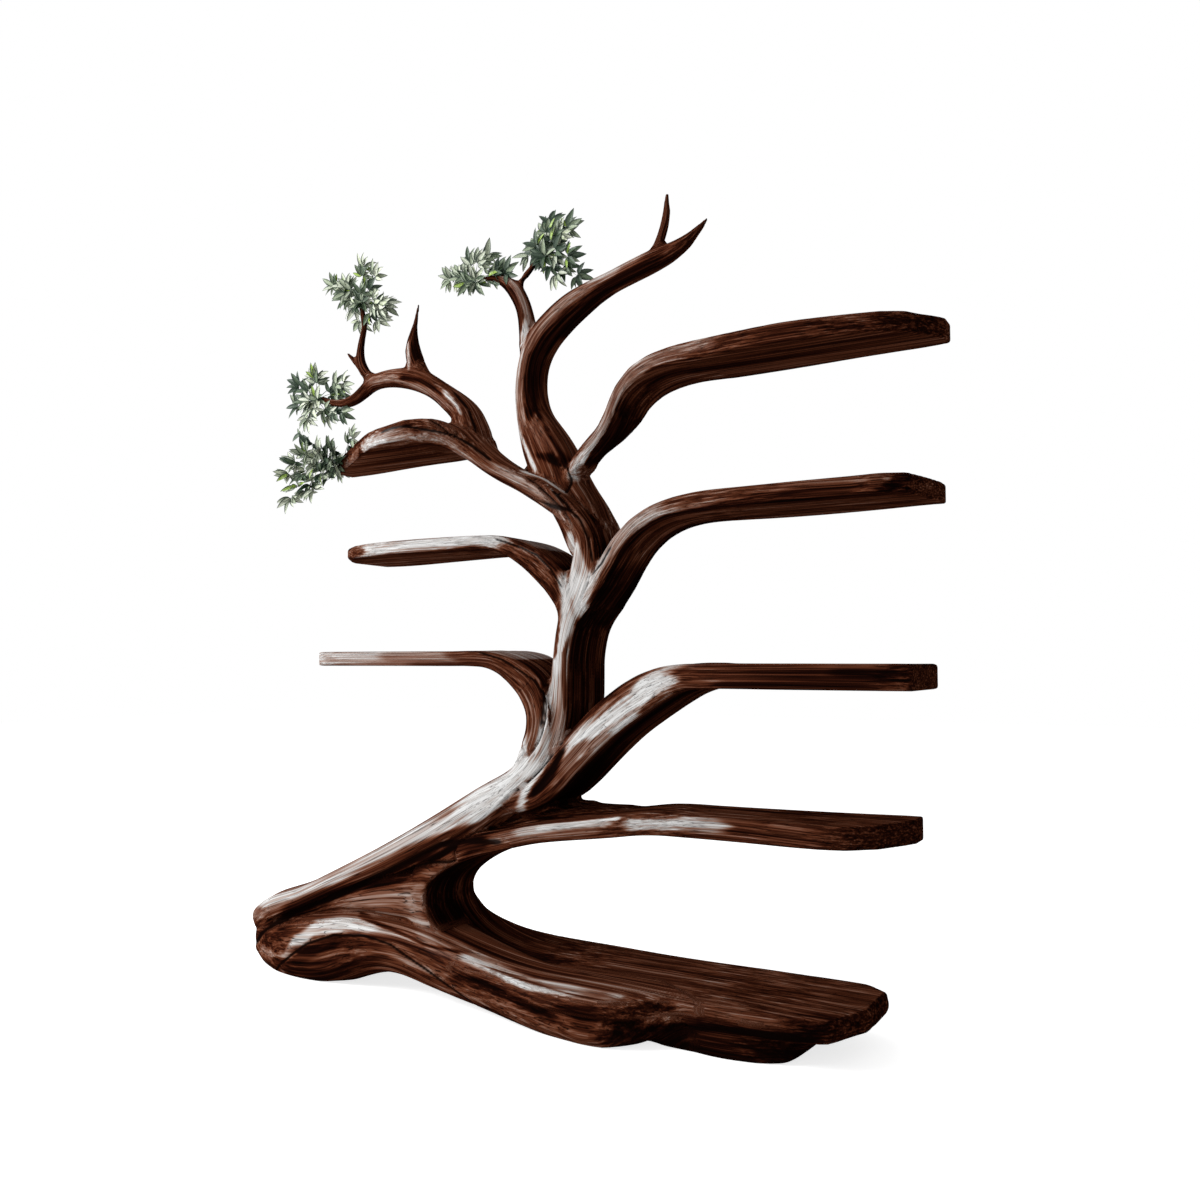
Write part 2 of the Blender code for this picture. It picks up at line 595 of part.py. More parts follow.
CROWN_RUN = [
    (0.010, 0.985, 0.058, -0.060, 0.070, FIRM),
    (-0.010, 1.062, 0.088, -0.062, 0.068, FIRM),
    (-0.043, 1.130, 0.108, -0.062, 0.064, SOFT),
    (-0.088, 1.198, 0.110, -0.062, 0.056, SOFT),
    (-0.118, 1.258, 0.118, -0.062, 0.048, SOFT),
    (-0.150, 1.318, 0.102, -0.058, 0.044, SOFT),
    (-0.177, 1.370, 0.082, -0.052, 0.046, ROUND),
    (-0.190, 1.420, 0.073, -0.047, 0.044, ROUND),
    (-0.191, 1.468, 0.067, -0.042, 0.042, ROUND),
    (-0.182, 1.516, 0.071, -0.041, 0.040, ROUND),
    (-0.152, 1.566, 0.077, -0.040, 0.039, ROUND),
    (-0.098, 1.610, 0.074, -0.037, 0.037, ROUND),
    (-0.044, 1.640, 0.066, -0.034, 0.034, ROUND),
    (0.015, 1.662, 0.050, -0.027, 0.027, ROUND),
    (0.070, 1.678, 0.050, -0.026, 0.026, ROUND),
    (0.122, 1.692, 0.052, -0.026, 0.026, ROUND),
    (0.172, 1.704, 0.044, -0.023, 0.023, ROUND),
    (0.222, 1.724, 0.030, -0.016, 0.016, ROUND),
    (0.256, 1.750, 0.014, -0.008, 0.008, ROUND),
    (0.273, 1.768, 0.004, -0.002, 0.002, ROUND),
]
CROWN_SPIKE_RUN = [
    (0.118, 1.694, 0.026, -0.013, 0.013, ROUND),
    (0.148, 1.718, 0.026, -0.013, 0.013, ROUND),
    (0.160, 1.750, 0.020, -0.010, 0.010, ROUND),
    (0.171, 1.783, 0.019, -0.010, 0.010, ROUND),
    (0.174, 1.806, 0.016, -0.008, 0.008, ROUND),
    (0.173, 1.829, 0.011, -0.006, 0.006, ROUND),
    (0.176, 1.846, 0.006, -0.003, 0.003, ROUND),
]
CROWN_LEFT_RUN = [
    (-0.184, 1.500, 0.044, -0.026, 0.026, ROUND),
    (-0.196, 1.552, 0.052, -0.027, 0.027, ROUND),
    (-0.204, 1.606, 0.044, -0.023, 0.023, ROUND),
    (-0.214, 1.650, 0.040, -0.021, 0.021, ROUND),
    (-0.236, 1.692, 0.042, -0.021, 0.021, ROUND),
    (-0.264, 1.722, 0.034, -0.017, 0.017, ROUND),
    (-0.295, 1.737, 0.018, -0.010, 0.010, ROUND),
    (-0.322, 1.742, 0.013, -0.007, 0.007, ROUND),
    (-0.345, 1.744, 0.010, -0.005, 0.005, ROUND),
]
CROWN_TWIG_RUN = [
    (-0.246, 1.698, 0.020, -0.010, 0.010, ROUND),
    (-0.216, 1.723, 0.018, -0.009, 0.009, ROUND),
    (-0.192, 1.744, 0.014, -0.007, 0.007, ROUND),
    (-0.170, 1.764, 0.010, -0.005, 0.005, ROUND),
]
FOOT_RUN = [
    (FOOT_LEFT, 0.062, 0.034, FOOT_FRONT, FOOT_BACK, BOARD),
    (0.165, 0.044, 0.080, FOOT_FRONT, FOOT_BACK, BOARD),
    (FOOT_FLAT_LEFT, 0.038, 0.092, FOOT_FRONT, FOOT_BACK, BOARD),
    (0.380, 0.036, 0.092, FOOT_FRONT, FOOT_BACK, BOARD),
    (FOOT_FLAT_RIGHT, 0.040, 0.088, -0.080, FOOT_BACK, BOARD),
    (0.490, 0.058, 0.062, -0.050, FOOT_BACK, BOARD),
    (FOOT_RIGHT, 0.074, 0.030, -0.038, FOOT_BACK, BOARD),
]


def clear_scene():
    for obj in list(bpy.data.objects):
        bpy.data.objects.remove(obj)


def below(level):
    """A cutter that takes away all that lies below a level."""
    return block((-FAR, -FAR, -FAR), (FAR, FAR, level))


def past_start(run, axis, reach):
    """A joint level at a reach from the first station of a run."""
    return axis, run[0]["xz".index(axis)] + reach


def make_limbs():
    """Every limb by name, with the places where it is jointed."""
    twig = {"sides": TWIG_SIDES, "step": TWIG_STEP}
    boards = {
        "right_2": (RIGHT_2_RUN, RIGHT_2_LEVEL, RIGHT_2_THICK, RIGHT_2_PLAN),
        "right_3": (RIGHT_3_RUN, RIGHT_3_LEVEL, RIGHT_3_THICK, RIGHT_3_PLAN),
        "right_4": (RIGHT_4_RUN, RIGHT_4_LEVEL, RIGHT_4_THICK, RIGHT_4_PLAN),
        "left_1": (LEFT_1_RUN, LEFT_1_LEVEL, LEFT_1_THICK, LEFT_1_PLAN),
        "left_2": (LEFT_2_RUN, LEFT_2_LEVEL, LEFT_2_THICK, LEFT_2_PLAN),
    }
    joints = {
        "right_2": [("x", RIGHT_2_ARM_JOINT_X), ("x", RIGHT_2_SHELF_JOINT_X)],
        "right_3": [("x", RIGHT_3_ARM_JOINT_X), ("x", RIGHT_3_SHELF_JOINT_X)],
        "right_4": [("x", RIGHT_4_ARM_JOINT_X), ("x", RIGHT_4_SHELF_JOINT_X)],
        "left_1": [("z", LEFT_1_ARM_JOINT_Z), ("x", LEFT_1_SHELF_JOINT_X)],
        "left_2": [("x", LEFT_2_ARM_JOINT_X), ("x", LEFT_2_SHELF_JOINT_X)],
    }
    limbs = {
        name: Limb(run, level_run(*board), joints=joints[name]) for name, (run, *board) in boards.items()
    }
    limbs["main"] = Limb(
        LEAN_RUN,
        UPRIGHT_RUN,
        LEFT_3_LIMB_RUN,
        level_run(LEFT_3_LEVEL, LEFT_3_THICK, LEFT_3_PLAN),
        joints=[("z", TRUNK_JOINT_Z), ("x", LEFT_3_LIMB_JOINT_X), ("x", LEFT_3_SHELF_JOINT_X)],
    )
    limbs["curl"] = Limb(
        level_run(BASE_LEVEL, BASE_THICK, BASE_PLAN),
        CROTCH_RUN,
        level_run(RIGHT_1_LEVEL, RIGHT_1_THICK, RIGHT_1_PLAN),
        joints=[("x", RIGHT_1_JOINT_X)],
    )
    limbs["yoke"] = Limb(YOKE_RUN)
    limbs["web"] = Limb(WEB_RUN)
    limbs["crease"] = Limb(CREASE_RUN)
    limbs["foot"] = Limb(FOOT_RUN)
    limbs["crown"] = Limb(CROWN_RUN, joints=[("z", CROWN_JOINT_Z), ("x", CROWN_RIGHT_JOINT_X)])
    limbs["bough"] = Limb(BOUGH_RUN, joints=[("z", BOUGH_JOINT_Z), ("x", TWIG_LEFT_JOINT_X)], **twig)
    limbs["thorn"] = Limb(THORN_RUN, **twig)
    jointed_once = {
        "bough_spike": (BOUGH_SPIKE_RUN, "z", BOUGH_SPIKE_RISE),
        "twig_up": (TWIG_UP_RUN, "x", TWIG_UP_REACH),
        "crown_left": (CROWN_LEFT_RUN, "z", CROWN_LEFT_RISE),
        "crown_spike": (CROWN_SPIKE_RUN, "z", CROWN_SPIKE_RISE),
        "crown_twig": (CROWN_TWIG_RUN, "x", CROWN_TWIG_REACH),
    }
    for name, (run, axis, reach) in jointed_once.items():
        limbs[name] = Limb(run, joints=[past_start(run, axis, reach)], **twig)
    return limbs


def build_root(limbs):
    """The root mass: the burl, the web between its strands, the crotch and the roots of two arms."""
    yoke, web, crease, curl = limbs["yoke"], limbs["web"], limbs["crease"], limbs["curl"]
    overlap_x = BASE_JOINT_X + BASE_OVERLAP
    root = union(
        limbs["main"].part("root_base", 0),
        yoke.stretch("yoke", 0.0, yoke.where("x", overlap_x)),
        web.stretch("web", 0.0, web.length),
        crease.stretch("crease", 0.0, crease.length),
        curl.stretch("crotch", curl.where("x", overlap_x, first=True), curl.cuts[0], cut_end=True),
        limbs["right_2"].part("right_2_root", 0),
        limbs["left_1"].part("left_1_root", 0),
    )
    carve(root, block((BASE_JOINT_X - GLUE_GAP / 2, -FAR, -FAR), (FAR, FAR, CROTCH_CLEAR_Z)))
    return carve(root, below(FLOOR))


def build_base(limbs):
    """The base board with the front strand that runs along it, and the foot under its free side."""
    yoke, curl, foot = limbs["yoke"], limbs["curl"], limbs["foot"]
    overlap_x = BASE_JOINT_X - BASE_OVERLAP
    slab = union(
        curl.stretch("base_slab", 0.0, curl.where("x", overlap_x, first=True)),
        yoke.stretch("strand", yoke.where("x", overlap_x), yoke.length),
    )
    carve(slab, block((-FAR, -FAR, -FAR), (BASE_JOINT_X + GLUE_GAP / 2, FAR, FAR)))
    carve(slab, below(FLOOR))

    under = BASE_LEVEL - BASE_THICK / 2
    base_foot = foot.stretch("base_foot", 0.0, foot.length)
    carve(base_foot, block((-FAR, -FAR, under - GLUE_GAP), (FAR, FAR, FAR)))
    carve(base_foot, below(FLOOR))
    cope = yoke.stretch("cope", 0.0, yoke.length)
    cope.data.transform(Matrix.Translation((0, 0, -GLUE_GAP)))
    carve(base_foot, cope)
    low = Vector((FOOT_TONGUE_LEFT, FOOT_TONGUE_FRONT, under / 2))
    high = Vector((FOOT_TONGUE_RIGHT, FOOT_TONGUE_BACK, under + FOOT_TONGUE_HEIGHT - GLUE_GAP))
    grow = Vector((GLUE_GAP, GLUE_GAP, GLUE_GAP))
    union(base_foot, block(low, high))
    carve(slab, block(low - grow, high + grow))
    return slab, base_foot


def build_wood(limbs):
    """Sweeps every limb, joins what grows from one blank and leaves gaps at the joints."""
    wood = {"root_base": build_root(limbs)}
    wood["base_slab"], wood["base_foot"] = build_base(limbs)
    wood["shelf_right_1"] = limbs["curl"].part("shelf_right_1", 1)
    for side in ("right_2", "right_3", "right_4", "left_1", "left_2"):
        wood[f"arm_{side}"] = limbs[side].part(f"arm_{side}", 1)
        wood[f"shelf_{side}"] = limbs[side].part(f"shelf_{side}", 2)
    wood["trunk_upper"] = union(
        limbs["main"].part("trunk_upper", 1),
        limbs["right_3"].part("right_3_root", 0),
        limbs["right_4"].part("right_4_root", 0),
        limbs["left_2"].part("left_2_root", 0),
        limbs["crown"].part("crown_root", 0),
    )
    wood["limb_left_3"] = union(
        limbs["main"].part("limb_left_3", 2), limbs["bough"].part("bough_root", 0)
    )
    wood["shelf_left_3"] = limbs["main"].part("shelf_left_3", 3)
    wood["bough"] = union(
        limbs["bough"].part("bough", 1),
        limbs["bough_spike"].part("spike_root", 0),
        limbs["twig_up"].part("twig_root", 0),
    )
    wood["bough_spike"] = limbs["bough_spike"].part("bough_spike", 1)
    wood["twig_left"] = limbs["bough"].part("twig_left", 2)
    wood["twig_upright"] = union(
        limbs["twig_up"].part("twig_upright", 1), limbs["thorn"].part("thorn", 0)
    )
    wood["crown"] = union(limbs["crown"].part("crown", 1), limbs["crown_left"].part("left_root", 0))
    wood["crown_branch_right"] = union(
        limbs["crown"].part("crown_branch_right", 2), limbs["crown_spike"].part("spike_root", 0)
    )
    wood["crown_spike"] = limbs["crown_spike"].part("crown_spike", 1)
    wood["crown_branch_left"] = union(
        limbs["crown_left"].part("crown_branch_left", 1), limbs["crown_twig"].part("twig_root", 0)
    )
    wood["crown_twig"] = limbs["crown_twig"].part("crown_twig", 1)
    return wood


def build_pins(limbs, wood):
    """Cuts every joint of the wood and returns the loose dowels and tenons that hold them."""
    pins = []

    def joint(limb, index, before, after):
        return limbs[limb].joint(index, wood[before], wood[after])

    parents = {
        "right_2": "root_base",
        "right_3": "trunk_upper",
        "right_4": "trunk_upper",
        "left_1": "root_base",
        "left_2": "trunk_upper",
    }
    for side, parent in parents.items():
        pins.append(joint(side, 0, parent, f"arm_{side}").loose_tenon(f"tenon_{side}"))
        pins += joint(side, 1, f"arm_{side}", f"shelf_{side}").dowels(f"dowel_{side}")
    pins.append(joint("main", 1, "trunk_upper", "limb_left_3").loose_tenon("tenon_left_3"))
    pins += joint("main", 2, "limb_left_3", "shelf_left_3").dowels("dowel_left_3")
    pins += joint("curl", 0, "root_base", "shelf_right_1").dowels("dowel_right_1")

    thick = THICK_DOWEL_DIAMETER, THICK_DOWEL_LENGTH
    pins += joint("main", 0, "root_base", "trunk_upper").dowels("dowel_trunk", *thick)
    pins.append(joint("crown", 0, "trunk_upper", "crown").dowel("dowel_crown", *thick))

    curl = limbs["curl"]
    (_, z, _, front, back, _), _ = curl.at(curl.where("x", BASE_JOINT_X, first=True))
    centre = Vector((BASE_JOINT_X, (front + back) / 2, z))
    base = Joint(wood["root_base"], wood["base_slab"], centre, Vector((1, 0, 0)), back - front)
    pins += base.dowels("dowel_base")

    seat_z = BASE_LEVEL - BASE_THICK / 2
    middle = (FOOT_FLAT_LEFT + FOOT_FLAT_RIGHT) / 2, (FOOT_FRONT + FOOT_BACK) / 2, seat_z
    depth = FOOT_BACK - FOOT_FRONT
    foot = Joint(wood["base_foot"], wood["base_slab"], Vector(middle), Vector((0, 0, 1)), depth)
    pins += foot.dowels("dowel_foot", DOWEL_DIAMETER, FOOT_DOWEL_LENGTH)

    twig = TWIG_TENON_DIAMETER, TWIG_TENON_LENGTH
    fine = FINE_TENON_DIAMETER, FINE_TENON_LENGTH
    joint("bough", 0, "limb_left_3", "bough").own_tenon(*twig)
    joint("bough", 1, "bough", "twig_left").own_tenon(*twig)
    joint("bough_spike", 0, "bough", "bough_spike").own_tenon(*twig)
    joint("twig_up", 0, "bough", "twig_upright").own_tenon(*twig)
    joint("crown", 1, "crown", "crown_branch_right").own_tenon(*twig)
    joint("crown_left", 0, "crown", "crown_branch_left").own_tenon(*twig)
    joint("crown_spike", 0, "crown_branch_right", "crown_spike").own_tenon(*fine)
    joint("crown_twig", 0, "crown_branch_left", "crown_twig").own_tenon(*fine)
    return pins


def frond(bead, heading, length):
    """A flat frond from a bead: a drooping rib whose width swells into forward pointing teeth."""
    across = heading.cross(Vector((0, -1, FROND_LEAN))).normalized()
    lift = heading.cross(across).normalized() * FROND_THICK / 2
    rings = []
    for k in range(2 * FROND_TEETH + 1):
        reach = (k // 2 + (TOOTH_TIP if k % 2 else TOOTH_ROOT)) / (FROND_TEETH + TOOTH_ROOT)
        swell = FROND_WIDTH / 2 * math.sin(FROND_TIP_ANGLE + FROND_SWEEP * reach)
        side = across * (swell if k % 2 else FROND_RIB / 2)
        centre = bead + heading * length * reach - Vector((0, 0, FROND_DROOP * reach**2))
        rings.append([centre + point for point in (side + lift, lift - side, -side - lift, side - lift)])
    return skin("frond", rings)


def leaf_spray(name, holder, tip, axis, count, length):
    """One spray in a socket drilled at a twig tip. Its fronds fan out about the stem, and in depth."""
    hole = 2 * (SOCKET_DEPTH + HOLE_SPARE)
    carve(holder, rod("socket", tip, axis, STEM_DIAMETER + 2 * PIN_FIT, hole))
    bead = tip + axis * STEM_REACH
    middle = tip + axis * (STEM_REACH - SOCKET_DEPTH) / 2
    spray = rod(name, middle, axis, STEM_DIAMETER, STEM_REACH + SOCKET_DEPTH)
    bm = bmesh.new()
    size, place = BEAD_DIAMETER / 2, Matrix.Translation(bead)
    bmesh.ops.create_icosphere(bm, subdivisions=1, radius=size, matrix=place)
    union(spray, solid_object("bead", bm), solver="MANIFOLD")
    for k in range(count):
        angle = math.atan2(axis.z, axis.x) + math.radians(FAN_DEGREES) * (k / (count - 1) - 0.5)
        depth = FAN_DEPTH * ((k + 1) % 3 - 1)
        heading = Vector((math.cos(angle), depth, math.sin(angle))).normalized()
        reach = length * SHORT_FROND if k % 2 else length
        union(spray, frond(bead, heading, reach), solver="MANIFOLD")
    return spray


def build_sprays(limbs, wood):
    sprays = []
    tips = (
        ("left_top", "twig_up", "twig_upright", LEFT_TOP_FRONDS, LEFT_TOP_FROND_LENGTH),
        ("left", "bough", "twig_left", LEFT_FRONDS, LEFT_FROND_LENGTH),
        ("crown_left", "crown_left", "crown_branch_left", CROWN_LEFT_FRONDS, CROWN_LEFT_FROND_LENGTH),
        ("crown", "crown_twig", "crown_twig", CROWN_FRONDS, CROWN_FROND_LENGTH),
        ("shelf", "main", "shelf_left_3", SHELF_FRONDS, SHELF_FROND_LENGTH),
    )
    for place, limb, holder, count, length in tips:
        tip = limbs[limb].middle(limbs[limb].length)
        _, axis = limbs[limb].at(limbs[limb].length)
        sprays.append(leaf_spray(f"leaf_spray_{place}", wood[holder], tip, axis, count, length))
    return sprays


def paint(objects, name, colour, roughness):
    material = bpy.data.materials.new(name)
    material.use_nodes = True
    shader = material.node_tree.nodes["Principled BSDF"]
    shader.inputs["Base Color"].default_value = (*colour, 1)
    shader.inputs["Roughness"].default_value = roughness
    for obj in objects:
        obj.data.materials.clear()
        obj.data.materials.append(material)
        obj.data.shade_smooth()
        obj.data.set_sharp_from_angle(angle=SHARP_ANGLE)


def centre_on_floor(objects):
    """Moves every mesh so that the origin is under the middle of the whole, at its lowest level."""
    points = [vertex.co for obj in objects for vertex in obj.data.vertices]
    low = Vector(min(point[i] for point in points) for i in range(3))
    high = Vector(max(point[i] for point in points) for i in range(3))
    shift = Vector((-(low.x + high.x) / 2, -(low.y + high.y) / 2, -low.z))
    for obj in objects:
        obj.data.transform(Matrix.Translation(shift))


def main():
    clear_scene()
    limbs = make_limbs()
    wood = build_wood(limbs)
    pins = build_pins(limbs, wood)
    sprays = build_sprays(limbs, wood)
    boards = [piece for name, piece in wood.items() if name.startswith("shelf")]
    limbs_and_root = [piece for name, piece in wood.items() if not name.startswith("shelf")]
    paint(boards, "walnut", WALNUT, 0.35)
    paint(limbs_and_root, "dark_walnut", WALNUT_DARK, 0.4)
    paint(pins, "beech", BEECH, 0.6)
    paint(sprays, "leaf_green", LEAF_GREEN, 0.7)
    centre_on_floor([*wood.values(), *pins, *sprays])


main()
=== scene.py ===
"""Looks of a live edge bookshelf in the shape of a leaning tree.

The solid blanks of the frame are merged into one skin, smoothed, carved along the grain and parted
again into one piece for each blank. The grain follows strands, the centre lines of the limbs. Leaves are
modelled one by one. Metres, +Z up, +X to the right along the shelves, -Y to the front. The tables of
lines below are in millimetres, with x from the trunk's own centre.
"""

import math
import random

import bmesh
import bpy
import numpy as np
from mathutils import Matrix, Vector
from mathutils.bvhtree import BVHTree


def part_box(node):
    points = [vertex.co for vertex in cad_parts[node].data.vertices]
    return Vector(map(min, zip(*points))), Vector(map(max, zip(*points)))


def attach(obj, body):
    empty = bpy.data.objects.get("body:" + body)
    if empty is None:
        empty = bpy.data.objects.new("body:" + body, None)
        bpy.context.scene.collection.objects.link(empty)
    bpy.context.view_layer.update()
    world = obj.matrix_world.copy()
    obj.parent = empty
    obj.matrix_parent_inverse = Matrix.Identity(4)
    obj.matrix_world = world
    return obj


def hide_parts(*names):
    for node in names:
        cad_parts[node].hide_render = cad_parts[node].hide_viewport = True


MM = 0.001
VOXEL = 0.0038
WELD = 0.00002
JOINT_OVERLAP = 0.00025
TRUNK_TO_BASE_END = 0.609
SHELF_FRONT = -0.122

WOOD_PREFIXES = ("root", "base", "trunk", "limb", "bough", "twig", "crown", "arm", "shelf")
PIN_PREFIXES = ("dowel", "tenon")

# Centre lines of the limbs from the root outwards: x, z and half the thickness
STRANDS = {
    "trunk": (
        (-1000, 105, 42.5), (-930, 143, 45), (-820, 186, 38.5), (-690, 244, 39), (-563, 298, 46.5),
        (-385, 386, 51), (-262, 457, 50.5), (-155, 528, 40.5), (-95, 600, 36), (-66, 670, 29),
        (-59, 735, 24.5), (-54, 810, 20), (-40, 880, 23.5), (-10, 950, 32), (10, 1015, 35), (8, 1068, 27),
        (-16, 1107, 26), (-55, 1142, 29), (-109, 1180, 31), (-170, 1210, 23.5), (-233, 1243, 24.5),
        (-297, 1290, 27), (-345, 1326, 31), (-400, 1342, 31), (-470, 1333, 22), (-880, 1333, 22),
    ),
    "yoke": (
        (-984, 74, 43), (-932, 62, 66), (-870, 60, 80), (-800, 64, 90), (-720, 74, 91), (-645, 94, 84),
        (-560, 106, 71), (-480, 107, 66), (-400, 95, 66), (-300, 77, 60.5), (-200, 63, 55), (-100, 52, 56),
        (10, 46, 61), (105, 47, 59), (170, 56, 49), (235, 72, 32), (320, 78.5, 19), (600, 78.5, 22.5),
    ),
    "web": (
        (-900, 122, 12), (-800, 153, 24), (-700, 186, 42), (-600, 208, 62), (-500, 223, 86),
        (-430, 226, 108),
    ),
    "curl": (
        (600, 78.5, 23), (-180, 78.5, 23), (-280, 88, 25), (-360, 112, 28), (-424, 157, 30),
        (-457, 216, 31), (-440, 276, 31), (-380, 326, 30), (-295, 362, 27), (-200, 386, 23.5),
        (-110, 408, 22.5), (-10, 424, 23), (80, 437, 23.5), (160, 448.5, 24), (684, 448.5, 24),
    ),
    "right_2": (
        (-285, 425, 20), (-210, 462, 30), (-115, 507, 41), (-30, 583, 40), (32, 642, 40.5),
        (94, 689, 41.5), (149, 723, 40.5), (200, 747, 34.5), (250, 760, 27), (310, 761, 25.5),
        (727, 761, 25.5),
    ),
    "right_3": (
        (-45, 850, 11), (-8, 910, 18), (31, 956, 21), (67, 1004, 19), (117, 1066, 18.5), (152, 1091, 17.5),
        (193, 1109, 17.5), (240, 1119, 18.5), (300, 1123.5, 19.5), (760, 1123.5, 19.5),
    ),
    "right_4": (
        (-70, 1205, 12), (-36, 1228, 19), (-6, 1252, 18), (25, 1272, 14.5), (52, 1298, 13),
        (73, 1329, 12.5), (88, 1358, 13), (104, 1384, 14.5), (130, 1408, 17), (175, 1428, 18.5),
        (225, 1437, 19), (290, 1438, 20), (780, 1438, 20),
    ),
    "left_1": (
        (-180, 496, 22), (-136, 568, 32), (-108, 630, 33), (-102, 670, 34.5), (-110, 706, 36.5),
        (-129, 737, 36.5), (-156, 761, 32), (-188, 781, 25.5), (-225, 795, 20.5), (-265, 799, 18.5),
        (-320, 798, 17.5), (-767, 798, 17.5),
    ),
    "left_2": (
        (-30, 862, 14), (-37, 912, 28), (-62, 964, 33.5), (-97, 1001, 33.5), (-134, 1030, 29),
        (-178, 1053, 23), (-225, 1067, 18), (-290, 1068, 16.5), (-756, 1068, 16.5),
    ),
    "bough": (
        (-245, 1240, 11), (-302, 1290, 21), (-331, 1342, 29), (-361, 1398, 29), (-403, 1436, 27.5),
        (-440, 1463, 26.5), (-495, 1496, 29), (-560, 1516, 26), (-625, 1522, 21.5), (-664, 1518, 20),
        (-694, 1500, 18), (-724, 1483, 16), (-770, 1475, 12.5), (-815, 1485, 9), (-850, 1500, 5),
    ),
    "bough_spike": (
        (-495, 1500, 20), (-518, 1540, 25), (-530, 1568, 22), (-536, 1594, 20.5), (-534, 1613, 15),
        (-527, 1639, 8), (-521, 1669, 5), (-515, 1700, 2.5),
    ),
    "twig_up": (
        (-640, 1516, 13), (-674, 1530, 15), (-703, 1561, 14), (-713, 1596, 11.5), (-708, 1631, 9),
        (-697, 1672, 8), (-703, 1700, 7.5), (-708, 1724, 6.5),
    ),
    "thorn": (
        (-700, 1558, 12), (-728, 1583, 9), (-756, 1609, 2.5),
    ),
    "crown": (
        (10, 985, 29), (-10, 1062, 44), (-43, 1130, 54), (-88, 1198, 55), (-118, 1258, 59),
        (-150, 1318, 51), (-177, 1370, 41), (-190, 1420, 36.5), (-191, 1468, 33.5), (-182, 1516, 35.5),
        (-152, 1566, 38.5), (-98, 1610, 37), (-44, 1640, 33), (15, 1662, 25), (70, 1678, 25),
        (122, 1692, 26), (172, 1704, 22), (222, 1724, 15), (256, 1750, 7), (273, 1768, 2),
    ),
    "crown_spike": (
        (118, 1694, 13), (148, 1718, 13), (160, 1750, 10), (171, 1783, 9.5), (174, 1806, 8),
        (173, 1829, 5.5), (176, 1846, 3),
    ),
    "crown_left": (
        (-184, 1500, 22), (-196, 1552, 26), (-204, 1606, 22), (-214, 1650, 20), (-236, 1692, 21),
        (-264, 1722, 17), (-295, 1737, 9), (-322, 1742, 6.5), (-345, 1744, 5),
    ),
    "crown_twig": (
        (-246, 1698, 10), (-216, 1723, 9), (-192, 1744, 7), (-170, 1764, 5),
    ),
}
STRAND_STEP = 0.008
STRAND_REACH = 0.12
LEAST_HALF, USUAL_HALF = 0.002, 0.03
# How far along a branch its own grain and creases take over from those of its parent
BRANCH_OWN_GRAIN, BRANCH_OWN_CREASE = (0.0, 0.16), (0.04, 0.16)
# How far back the yoke's grain reaches at some places along the base
YOKE_BACK_AT = (-0.62, -0.28, 0.15, 0.30)
YOKE_BACK = (0.10, -0.02, -0.02, -0.12)
YOKE_BACK_BLUR = 0.02

# These strands grow into one another, so no crease parts them
ROOT_STRANDS = ("yoke", "web", "curl")
# Left of this the front of the crotch follows the web
CROTCH_FRONT_END = (-0.30, -0.36)

# Each strand's grain is shifted, so that the streaks of two strands differ
GRAIN_SHIFT_ALONG, GRAIN_SHIFT_DEEP = 3.7, 0.31
GRAIN_WIDTH, GRAIN_LIMIT = 0.045, 4.0

FLUTE_DEPTH, SEAM_DEPTH = 0.0040, 0.0080
# Boards are carved less deep than limbs, apart from their edges
BOARD_CALM, BOARD_EDGE, BOARD_SEAM = 0.72, 0.25, 0.6
FLOOR_FADE = (0.004, 0.03)

